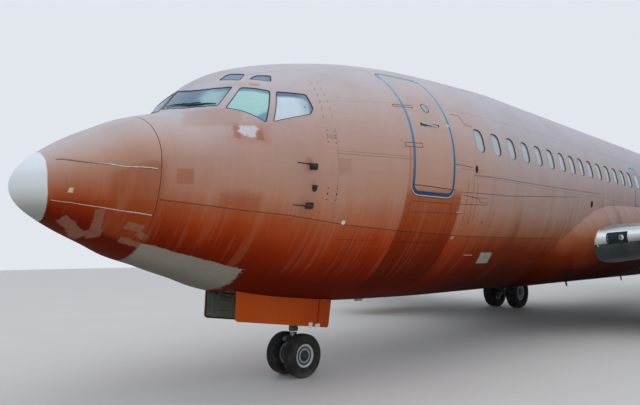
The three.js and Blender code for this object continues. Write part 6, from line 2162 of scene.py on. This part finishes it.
@finish
def wing_metal():
    """Wing skin: a polished leading edge, then grey coated sheet with spar and rib lines, rivets, oxide
    and streaks that run aft, with painted shade on the underside behind the nose."""
    f = Finish("wing_sheet")
    place = f.place()
    x, y, z = f.parts(place)
    span = abs(y)
    lead = (span * 0.845 + (10.31 - 1.9 * 0.845)).least(span * 0.52 + (12.93 - 5 * 0.52))
    chord = (span * -0.89 + (6.43 + 1.9 * 0.89)).most(span * -0.2257 + (3.67 + 5 * 0.2257))
    aft = x - NOSE_X - lead
    share = aft / chord
    oxide = f.noise(place, 2.6, 5.0, 0.62)
    streak = f.noise(f.stretched(place, 0.8, 9.0, 4.0), 1.0, 4.0, 0.6)
    fine = f.noise(f.stretched(place, 3.0, 60.0, 40.0), 1.0, 2.0, 0.5)
    level = z - LOBE_Z + 1.34 - span * 0.105 + aft * WING_FALL
    under = f.ease(level + (0.115 - span * 0.0075), 0.004, -0.004)
    polished = f.ease(aft + (oxide - 0.5) * 0.02, 0.31, 0.30) * (1 - under)
    bright = f.mix(oxide, tone(216, 218, 220), tone(168, 170, 174))
    grey = f.mix(f.ease(streak, 0.3, 0.75), tone(148, 151, 154), tone(126, 128, 130))
    grey = f.tint(grey, f.ease(oxide, 0.55, 0.8) * 0.5, 98, 92, 86)
    # Painted shade: the underside behind the nose is dark blue-grey.
    shaded_underside = f.mix(f.ease(streak, 0.3, 0.7), tone(60, 74, 80), tone(92, 100, 102))
    colour = f.mix(polished, f.mix(under * f.ease(aft, 2.2, 0.6), grey, shaded_underside), bright)
    lines = f.line(aft, 0.305, 0.006) + f.line(share, 0.60, 0.0018) + f.line(share, 0.17, 0.0016)
    lines = lines + f.line(span % 1.52, 0.76, 0.005) * (1 - polished)
    lines = lines + f.line(span, 4.45, 0.006)
    for at in (7.3, 10.2):
        lines = lines + f.line(span, at, 0.005) * polished
    lines = lines.least(1.0)
    colour = f.tint(colour, lines * 0.7, 48, 44, 42)
    rows = f.line(share % 0.118, 0.06, 0.0022) * f.ease(abs(span % 0.04 - 0.02), 0.006, 0.004)
    colour = f.tint(colour, rows * 0.35 * (1 - polished), 70, 66, 62)
    rough = 0.42 - polished * 0.22 + oxide * 0.16
    return f.set(Base_Color=colour, Metallic=0.25 + polished * 0.6, Roughness=rough,
                 Normal=f.bump(fine * 0.2 + rows * 0.6 - lines + streak * 0.2, 0.2, 0.003),
                 Specular_IOR_Level=0.45)


@finish
def tail_paint():
    """Faded orange on the fin and rudder, paler and chalked towards the top, with skin joints."""
    f = Finish("tail_paint")
    place = f.place()
    x, _, z = f.parts(place)
    cloud = f.noise(place, 0.8, 5.0, 0.6)
    run = f.noise(f.stretched(place, 5.0, 5.0, 0.5), 1.0, 4.0, 0.6)
    height = (z + (cloud - 0.5) * 1.4) / 12
    colour = f.ramp(height, (0.36, tone(178, 142, 128)), (0.55, tone(184, 138, 116)),
                    (0.8, tone(190, 142, 118)), (0.95, tone(196, 156, 138)))
    colour = f.tint(colour, f.ease(run, 0.5, 0.72) * 0.3, 144, 110, 98)
    joints = (f.line(z % 1.25, 0.6, 0.006) + f.line((x - z * 0.71) % 1.4, 0.7, 0.006)).least(1.0)
    colour = f.tint(colour, joints * 0.55, 84, 58, 50)
    return f.set(Base_Color=colour, Roughness=0.6 + (run - 0.5) * 0.16,
                 Normal=f.bump(cloud * 0.4 - joints, 0.2, 0.004),
                 Specular_IOR_Level=0.34)


@finish
def duct_lining():
    """The intake's inside: the polished lip, then pale grey lining with rows of fine holes, darker aft as
    painted shade deep in the duct.
    """
    f = Finish("duct_lining")
    place = f.place()
    x, _, z = f.parts(place)
    aft = x - (NOSE_X + ENGINE_AXIS[0])
    cloud = f.noise(place, 2.4, 5.0, 0.6)
    holes = f.line(aft % 0.024, 0.012, 0.004) * f.ease(abs(z % 0.024 - 0.012), 0.006, 0.003)
    colour = f.mix(cloud, tone(150, 152, 154), tone(122, 123, 125))
    # Painted shade: the lining darkens deeper into the duct.
    colour = f.tint(colour, f.ease(aft + (cloud - 0.5) * 0.6, 0.5, 2.2) * 0.6, 62, 60, 58)
    colour = f.tint(colour, holes * 0.4, 60, 60, 62)
    lip = f.ease(aft, 0.185, 0.18)
    colour = f.mix(lip, colour, f.mix(cloud, tone(210, 212, 215), tone(168, 171, 176)))
    seam = (f.line(aft, 0.19, 0.005) + f.line(aft, 0.88, 0.006)).least(1.0)
    colour = f.tint(colour, seam * 0.7, 44, 42, 42)
    return f.set(Base_Color=colour, Metallic=lip * 0.85, Roughness=0.5 - lip * 0.28 + (cloud - 0.5) * 0.14,
                 Normal=f.bump(cloud * 0.3 - seam - holes, 0.2, 0.002))


@finish
def nacelle_paint():
    """Nacelles: a polished lip, faded orange cowls with latch lines and soot towards the nozzle."""
    f = Finish("nacelle_paint")
    place = f.place()
    x, y, z = f.parts(place)
    aft = x - (NOSE_X + ENGINE_AXIS[0])
    cloud = f.noise(place, 1.4, 5.0, 0.6)
    run = f.noise(f.stretched(place, 0.9, 4.0, 4.0), 1.0, 4.0, 0.6)
    colour = f.mix(cloud, tone(176, 118, 90), tone(168, 134, 118))
    colour = f.tint(colour, f.ease(run, 0.5, 0.75) * 0.4, 118, 84, 70)
    colour = f.tint(colour, f.ease(aft + (cloud - 0.5) * 0.6, 2.3, 3.3) * 0.6, 88, 74, 66)
    lip = f.ease(aft, 0.30, 0.295)
    colour = f.mix(lip, colour, f.mix(cloud, tone(210, 212, 215), tone(168, 171, 176)))
    up = z - LOBE_Z - ENGINE_AXIS[2]
    lines = (f.line(aft, 0.30, 0.006) + f.line(aft, 1.32, 0.006) + f.line(aft, 2.42, 0.006)
             + f.line(abs(y) - ENGINE_AXIS[1], 0.0, 0.005) * f.ease(aft, 0.30, 0.32))
    for left, right, low, high in (
        (0.52, 0.92, -0.16, 0.16), (1.55, 1.86, -0.48, -0.26), (1.48, 1.70, 0.22, 0.44),
    ):
        window, inner = [
            f.window(aft, left + rim, right - rim, 0.003) * f.window(up, low + rim, high - rim, 0.003)
            for rim in (0, 0.012)]
        lines = lines + (window - inner) * 0.8
        colour = f.tint(colour, inner * 0.25, 150, 112, 96)
    rivets = (f.line(aft % 0.34, 0.17, 0.004) * f.ease(abs(up % 0.03 - 0.015), 0.006, 0.003)
              + f.line(up % 0.21, 0.10, 0.004) * f.ease(abs(aft % 0.03 - 0.015), 0.006, 0.003))
    rivets = rivets * f.ease(aft, 0.32, 0.34)
    colour = f.tint(colour, rivets * 0.3, 96, 66, 54)
    lines = lines.least(1.0)
    colour = f.tint(colour, lines * 0.7, 50, 38, 34)
    return f.set(Base_Color=colour, Metallic=lip * 0.85, Roughness=0.55 - lip * 0.3 + (cloud - 0.5) * 0.14,
                 Normal=f.bump(cloud * 0.4 - lines, 0.2, 0.003))


@finish
def blade_metal():
    """Titanium fan blades and vanes, brushed outwards."""
    f = Finish("blade_metal")
    place = f.place()
    brush = f.noise(place, 70.0, 3.0, 0.6)
    cloud = f.noise(place, 6.0, 4.0, 0.6)
    colour = f.mix(cloud, tone(120, 124, 130), tone(86, 88, 92))
    return f.set(Base_Color=colour, Metallic=0.85, Roughness=0.30 + brush * 0.12,
                 Normal=f.bump(brush, 0.1, 0.001))


@finish
def spinner_paint():
    """Dark satin spinner, sand-blasted towards its tip."""
    f = Finish("spinner_paint")
    place = f.place()
    x, _, _ = f.parts(place)
    speck = f.noise(place, 60.0, 4.0, 0.65)
    tip = f.ease(x + (speck - 0.5) * 0.1, NOSE_X + 11.2, NOSE_X + 11.02)
    colour = f.mix(tip, f.mix(speck, tone(40, 41, 44), tone(54, 54, 56)), tone(112, 108, 102))
    return f.set(Base_Color=colour, Roughness=0.45 + speck * 0.15, Normal=f.bump(speck, 0.1, 0.001))


@finish
def hot_metal(part):
    """Heat-tinted steel of the nozzle or plug: straw and blue-brown bands with soot."""
    f = Finish("hot_metal_" + part)
    place = f.place()
    cloud = f.noise(place, 5.0, 5.0, 0.65)
    band = f.noise(f.stretched(place, 6.0, 1.0, 1.0), 1.0, 3.0, 0.6)
    colour = f.ramp(band, (0.3, tone(118, 104, 92)), (0.5, tone(98, 82, 70)), (0.65, tone(84, 80, 88)),
                    (0.8, tone(66, 60, 58)))
    colour = f.tint(colour, f.ease(cloud, 0.4, 0.75) * 0.6, 42, 38, 36)
    return f.set(Base_Color=colour, Metallic=0.8, Roughness=0.42 + cloud * 0.2,
                 Normal=f.bump(cloud, 0.15, 0.002))


@finish
def bay_primer():
    """Grey-green primer inside bays and doors, dusty and oil-stained."""
    f = Finish("bay_primer")
    place = f.place()
    cloud = f.noise(place, 5.0, 5.0, 0.62)
    speck = f.noise(place, 45.0, 4.0, 0.7)
    colour = f.mix(cloud, tone(112, 118, 104), tone(84, 88, 78))
    colour = f.tint(colour, f.ease(cloud, 0.55, 0.8) * 0.5, 62, 56, 48)
    colour = f.tint(colour, f.ease(speck, 0.66, 0.74) * 0.4, 150, 150, 140)
    return f.set(Base_Color=colour, Roughness=0.6 + (cloud - 0.5) * 0.2,
                 Normal=f.bump(speck * 0.3 + cloud, 0.2, 0.003))


@finish
def shaded_gear_paint():
    """Grey enamel of the landing gear, darkened as painted shade, greasy and chipped to bare steel at edges.
    """
    f = Finish("gear_enamel_painted_shade")
    place = f.place()
    cloud = f.noise(place, 6.0, 5.0, 0.62)
    chips = f.noise(place, 38.0, 5.0, 0.7)
    run = f.noise(f.stretched(place, 14.0, 14.0, 1.5), 1.0, 4.0, 0.6)
    colour = f.mix(cloud, tone(84, 86, 86), tone(56, 56, 56))
    colour = f.tint(colour, f.ease(run, 0.48, 0.72) * 0.6, 34, 30, 26)
    colour = f.tint(colour, f.ease(chips, 0.66, 0.73) * 0.5, 130, 128, 124)
    return f.set(Base_Color=colour, Roughness=0.42 + run * 0.25,
                 Normal=f.bump(chips * 0.3 + cloud, 0.2, 0.002))


@finish
def shaded_chrome():
    """The hard chrome of a shock strut's sliding tube, wiped and lightly scored, and darkened as painted
    shade.
    """
    f = Finish("shaded_chrome")
    place = f.place()
    score = f.noise(f.stretched(place, 60.0, 60.0, 3.0), 1.0, 3.0, 0.6)
    film = f.noise(place, 9.0, 4.0, 0.6)
    colour = f.mix(f.ease(film, 0.4, 0.8) * 0.5, tone(150, 152, 154), tone(92, 88, 82))
    return f.set(Base_Color=colour, Metallic=1.0 - film * 0.3, Roughness=0.22 + score * 0.12 + film * 0.1,
                 Normal=f.bump(score, 0.08, 0.001))


@finish
def wheel_alloy(station, axle, rim):
    """Wheels in rings by the square of the distance from the axle: a silver flange, a dark ring round the
    holes, a silver web and a dark hub."""
    f = Finish("wheel_alloy_" + ("nose" if station < 10 else "main"))
    place = f.place()
    x, _, z = f.parts(place)
    dust = f.noise(place, 12.0, 5.0, 0.65)
    speck = f.noise(place, 80.0, 3.0, 0.6)
    across, up = x - (station + NOSE_X), z - (axle + LOBE_Z)
    reach = (across * across + up * up) * (1 / rim ** 2) + (speck - 0.5) * 0.03
    colour = f.ramp(reach, (0.0, tone(60, 60, 62)), (0.05, tone(34, 34, 36)), (0.20, tone(40, 40, 42)),
                    (0.26, tone(140, 144, 148)), (0.38, tone(150, 154, 158)), (0.42, tone(48, 50, 54)),
                    (0.60, tone(40, 42, 46)), (0.66, tone(176, 182, 186)), (1.0, tone(190, 194, 198)))
    colour = f.tint(colour, f.ease(dust, 0.45, 0.8) * 0.5, 84, 80, 76)
    return f.set(Base_Color=colour, Metallic=0.3 - dust * 0.2, Roughness=0.38 + dust * 0.3,
                 Normal=f.bump(speck * 0.4 + dust, 0.15, 0.001))


@finish
def painted_hole_shade():
    """Painted shade for the inside of a hole: near black, with a film of dust."""
    f = Finish("painted_hole_shade")
    dust = f.noise(f.place(), 30.0, 4.0, 0.6)
    return f.set(Base_Color=f.mix(dust, tone(12, 12, 13), tone(34, 31, 28)), Roughness=0.8 + dust * 0.1,
                 Specular_IOR_Level=0.1)


@finish
def lamp_glass():
    """A ribbed lamp lens over a bright reflector."""
    f = Finish("lamp_glass")
    place = f.place()
    _, y, _ = f.parts(place)
    ribs = abs((y * 90) % 1 - 0.5)
    speck = f.noise(place, 50.0, 3.0, 0.6)
    colour = f.mix(ribs, tone(226, 230, 232), tone(176, 184, 188))
    return f.set(Base_Color=colour, Metallic=0.3 + speck * 0.2, Roughness=0.08 + speck * 0.08,
                 Coat_Weight=0.8,
                 Normal=f.bump(ribs, 0.3, 0.002))


@finish
def gear_door_paint(name):
    """A nose gear door's outside: fresh orange with a red stripe, a rivet row and chips."""
    f = Finish("gear_door_paint_" + name)
    place = f.place()
    x, _, z = f.parts(place)
    along, height = x - NOSE_X, z - LOBE_Z
    cloud = f.noise(place, 3.0, 5.0, 0.6)
    chips = f.noise(place, 30.0, 5.0, 0.7)
    streak = f.noise(f.stretched(place, 14.0, 1.0, 1.2), 1.0, 4.0, 0.6)
    colour = f.mix(cloud, tone(190, 82, 26), tone(174, 68, 16))
    colour = f.tint(colour, f.ease(height, -2.05, -2.45) * 0.35, 194, 80, 24)
    colour = f.tint(colour, f.ease(streak, 0.5, 0.72) * 0.25, 140, 60, 26)
    # Painted shade: the door's aft end is darker.
    colour = f.tint(colour, f.ease(along, 3.3, 4.15) * 0.55, 142, 50, 12)
    stripe = f.line(along - (height + 2.1) * 0.19, 3.967, 0.018)
    colour = f.tint(colour, stripe * 0.95, 140, 12, 6)
    edge_line = height + 2.21 + (along - 2.53) * 0.1365
    rivets = f.line(edge_line, 0.045, 0.005) * f.ease(abs(along % 0.045 - 0.0225), 0.008, 0.005)
    colour = f.tint(colour, rivets * 0.5, 110, 52, 30)
    colour = f.tint(colour, f.ease(chips, 0.68, 0.75) * 0.6, 128, 112, 100)
    return f.set(Base_Color=colour, Roughness=0.5 + (cloud - 0.5) * 0.15,
                 Normal=f.bump(chips * 0.4 + rivets, 0.15, 0.002),
                 Specular_IOR_Level=0.06)


@finish
def strut_door_paint():
    """The strut doors' orange-brown paint with grime towards the lower edge."""
    f = Finish("strut_door_paint")
    place = f.place()
    _, _, z = f.parts(place)
    cloud = f.noise(place, 4.0, 5.0, 0.62)
    colour = f.mix(cloud, tone(150, 92, 66), tone(128, 78, 58))
    colour = f.tint(colour, f.ease(z + (cloud - 0.5) * 0.2, 1.3, 0.95) * 0.6, 80, 56, 44)
    return f.set(Base_Color=colour, Roughness=0.6 + (cloud - 0.5) * 0.2, Normal=f.bump(cloud, 0.2, 0.003))


# Stage

# The photo's camera: its place, the way that it looks, the way that its right side points, and its lens.
VIEWPOINT = ((-16.816, -6.128, 1.719), (0.6909, 0.7165, 0.0963), (0.7206, -0.6933, -0.0117))
LENS = 30.81
FLOOR_RADIUS = 90


def aimed(place, forward, right):
    """Where a lamp or camera stands: at a place, looking forward, its right side squared to that."""
    forward = np.array(forward) / np.linalg.norm(forward)
    right = np.array(right) - forward * np.dot(right, forward)
    right /= np.linalg.norm(right)
    turned = Matrix(np.stack([right, np.cross(right, forward), -forward], -1).tolist()).to_4x4()
    return Matrix.Translation(place) @ turned


def make_stage(props):
    """A pale floor, soft overhead light and the camera."""
    scene = bpy.context.scene
    scene.view_settings.view_transform = "Standard"
    disc = oval((0, 0), FLOOR_RADIUS, FLOOR_RADIUS, 96)
    mesh = bpy.data.meshes.new("floor")
    mesh.from_pydata([(*at, -0.002) for at in disc.tolist()], [], [list(range(len(disc)))])
    floor = bpy.data.objects.new("floor", mesh)
    scene.collection.objects.link(floor)
    f = Finish("pale_floor")
    grain = f.noise(f.place(), 0.6, 6.0, 0.6)
    mesh.materials.append(f.set(
        Base_Color=f.mix(grain, tone(206, 205, 202), tone(214, 213, 211)), Roughness=0.75 + grain * 0.1))

    world = bpy.data.worlds.new("studio")
    world.use_nodes = True
    back = world.node_tree.nodes["Background"]
    back.inputs["Color"].default_value = tone(226, 231, 238)
    back.inputs["Strength"].default_value = props.sky
    scene.world = world
    for name, place, aim, upright, size, power in (
        ("overhead", (-9, -7, 17), (-9, -1, 2), (0, 1, 0), 22, props.overhead),
        ("side_fill", (-24, -18, 7), (-8, 0, 2.5), (0, 0, 1), 12, props.overhead * 0.18),
    ):
        light = bpy.data.lights.new(name, "AREA")
        light.shape, light.size, light.energy = "DISK", size, power
        lamp = bpy.data.objects.new(name, light)
        forward = np.subtract(aim, place)
        lamp.matrix_world = aimed(place, forward, np.cross(forward, upright))
        scene.collection.objects.link(lamp)

    camera = bpy.data.cameras.new("camera")
    camera.lens, camera.sensor_width, camera.clip_end = LENS, 36, 500
    viewer = bpy.data.objects.new("camera", camera)
    viewer.matrix_world = aimed(*VIEWPOINT)
    scene.collection.objects.link(viewer)
    scene.camera = viewer


# Add-on

class SkinSettings(bpy.types.PropertyGroup):
    """Sizes of the fuselage's skins and doors."""
    door_slit: FloatProperty(name="Door slit", description="Slit round a door in its frame", default=0.006,
                             min=0, unit="LENGTH")


class WindowSettings(bpy.types.PropertyGroup):
    """Sizes of the cabin windows."""
    recess: FloatProperty(name="Recess", description="Depth of a cabin pane below the skin", default=0.016,
                          min=0, max=0.024, unit="LENGTH")
    dome: FloatProperty(name="Dome", description="Rise of a cabin pane's middle", default=0.004, min=0,
                        unit="LENGTH")


class FittingSettings(bpy.types.PropertyGroup):
    """Sizes of the small fittings on the skin."""
    probe_reach: FloatProperty(name="Probe reach", description="Distance of the pitot tubes from the skin",
                               default=0.10, min=0.02, unit="LENGTH")


class WingSettings(bpy.types.PropertyGroup):
    """Sizes of the wings' details."""
    cuff_radius: FloatProperty(name="Cuff radius", description="Radius of the cuff at the wing root",
                               default=0.014, min=0.002, unit="LENGTH")


class EngineSettings(bpy.types.PropertyGroup):
    """Numbers of blades in the engines."""
    fan_blades: IntProperty(name="Fan blades", description="Blades of each fan", default=38, min=3)
    guide_vanes: IntProperty(name="Guide vanes", description="Vanes behind each fan", default=48, min=3)


class GearSettings(bpy.types.PropertyGroup):
    """Details of the landing gear."""
    nose_grooves: IntProperty(name="Nose tyre grooves", description="Grooves round each nose tyre", default=4,
                              min=1)
    main_grooves: IntProperty(name="Main tyre grooves", description="Grooves round each main tyre", default=5,
                              min=1)
    hose_radius: FloatProperty(name="Hose radius", description="Radius of the hoses on the legs",
                               default=0.010,
                               min=0.001, unit="LENGTH")


class StageSettings(bpy.types.PropertyGroup):
    """Light of the studio."""
    sky: FloatProperty(name="Sky", description="Strength of the pale surroundings", default=1.0, min=0)
    overhead: FloatProperty(name="Overhead", description="Power of the large overhead light", default=700,
                            min=0, unit="POWER")


class AIRLINER_OT_skins(bpy.types.Operator):
    """Makes the fuselage's barrels, the radome and the bulkheads"""
    bl_idname = "airliner.skins"
    bl_label = "Fuselage skins"

    def execute(self, context):
        make_skins(context.scene.airliner_skin)
        make_radome()
        make_bulkheads()
        return {"FINISHED"}


class AIRLINER_OT_windows(bpy.types.Operator):
    """Makes the cabin windows and the flight deck's panes"""
    bl_idname = "airliner.windows"
    bl_label = "Windows"

    def execute(self, context):
        make_windows(context.scene.airliner_window)
        make_flight_deck()
        return {"FINISHED"}


class AIRLINER_OT_doors(bpy.types.Operator):
    """Makes the doors, hatches and their painted outlines"""
    bl_idname = "airliner.doors"
    bl_label = "Doors"

    def execute(self, context):
        make_doors(context.scene.airliner_skin)
        return {"FINISHED"}


class AIRLINER_OT_fittings(bpy.types.Operator):
    """Makes wipers, probes, vents, masts and the doors' handles"""
    bl_idname = "airliner.fittings"
    bl_label = "Skin fittings"

    def execute(self, context):
        make_fittings(context.scene.airliner_fitting)
        return {"FINISHED"}


class AIRLINER_OT_wings(bpy.types.Operator):
    """Makes the wings, their surfaces, landing lights and the fairing between them"""
    bl_idname = "airliner.wings"
    bl_label = "Wings"

    def execute(self, context):
        make_wings()
        make_landing_lights(context.scene.airliner_wing)
        make_fairing()
        return {"FINISHED"}


class AIRLINER_OT_engines(bpy.types.Operator):
    """Makes the nacelles, fans, cores and pylons"""
    bl_idname = "airliner.engines"
    bl_label = "Engines"

    def execute(self, context):
        make_engines(context.scene.airliner_engine)
        make_pylons()
        return {"FINISHED"}


class AIRLINER_OT_tail(bpy.types.Operator):
    """Makes the fin, rudder, stabilisers and elevators"""
    bl_idname = "airliner.tail"
    bl_label = "Tail"

    def execute(self, context):
        make_tail()
        return {"FINISHED"}


class AIRLINER_OT_gear(bpy.types.Operator):
    """Makes the landing gear, its doors and its bay"""
    bl_idname = "airliner.gear"
    bl_label = "Landing gear"

    def execute(self, context):
        make_nose_gear(context.scene.airliner_gear)
        make_main_gear(context.scene.airliner_gear)
        return {"FINISHED"}


class AIRLINER_OT_stage(bpy.types.Operator):
    """Makes the floor, the lights and the camera"""
    bl_idname = "airliner.stage"
    bl_label = "Stage"

    def execute(self, context):
        make_stage(context.scene.airliner_stage)
        return {"FINISHED"}


SETTINGS = {
    "airliner_skin": SkinSettings, "airliner_window": WindowSettings, "airliner_fitting": FittingSettings,
    "airliner_wing": WingSettings, "airliner_engine": EngineSettings, "airliner_gear": GearSettings,
    "airliner_stage": StageSettings,
}
OPERATORS = (
    AIRLINER_OT_skins, AIRLINER_OT_windows, AIRLINER_OT_doors, AIRLINER_OT_fittings, AIRLINER_OT_wings,
    AIRLINER_OT_engines, AIRLINER_OT_tail, AIRLINER_OT_gear, AIRLINER_OT_stage,
)


class AIRLINER_PT_pieces(bpy.types.Panel):
    """The settings and the buttons that make the pieces"""
    bl_label = "Airliner"
    bl_idname = "AIRLINER_PT_pieces"
    bl_space_type = "VIEW_3D"
    bl_region_type = "UI"
    bl_category = "Airliner"

    def draw(self, context):
        column = self.layout.column()
        for name, group in SETTINGS.items():
            for field in group.__annotations__:
                column.prop(getattr(context.scene, name), field)
        for item in OPERATORS:
            column.operator(item.bl_idname)


CLASSES = (*SETTINGS.values(), *OPERATORS, AIRLINER_PT_pieces)


def register():
    for item in CLASSES:
        bpy.utils.register_class(item)
    for name, group in SETTINGS.items():
        setattr(bpy.types.Scene, name, PointerProperty(type=group))


def unregister():
    for name in SETTINGS:
        delattr(bpy.types.Scene, name)
    for item in reversed(CLASSES):
        bpy.utils.unregister_class(item)


def main():
    """Makes every piece and the stage."""
    register()
    bpy.ops.airliner.skins()
    bpy.ops.airliner.windows()
    bpy.ops.airliner.doors()
    bpy.ops.airliner.fittings()
    bpy.ops.airliner.wings()
    bpy.ops.airliner.engines()
    bpy.ops.airliner.tail()
    bpy.ops.airliner.gear()
    bpy.ops.airliner.stage()


if __name__ == "__main__":
    main()
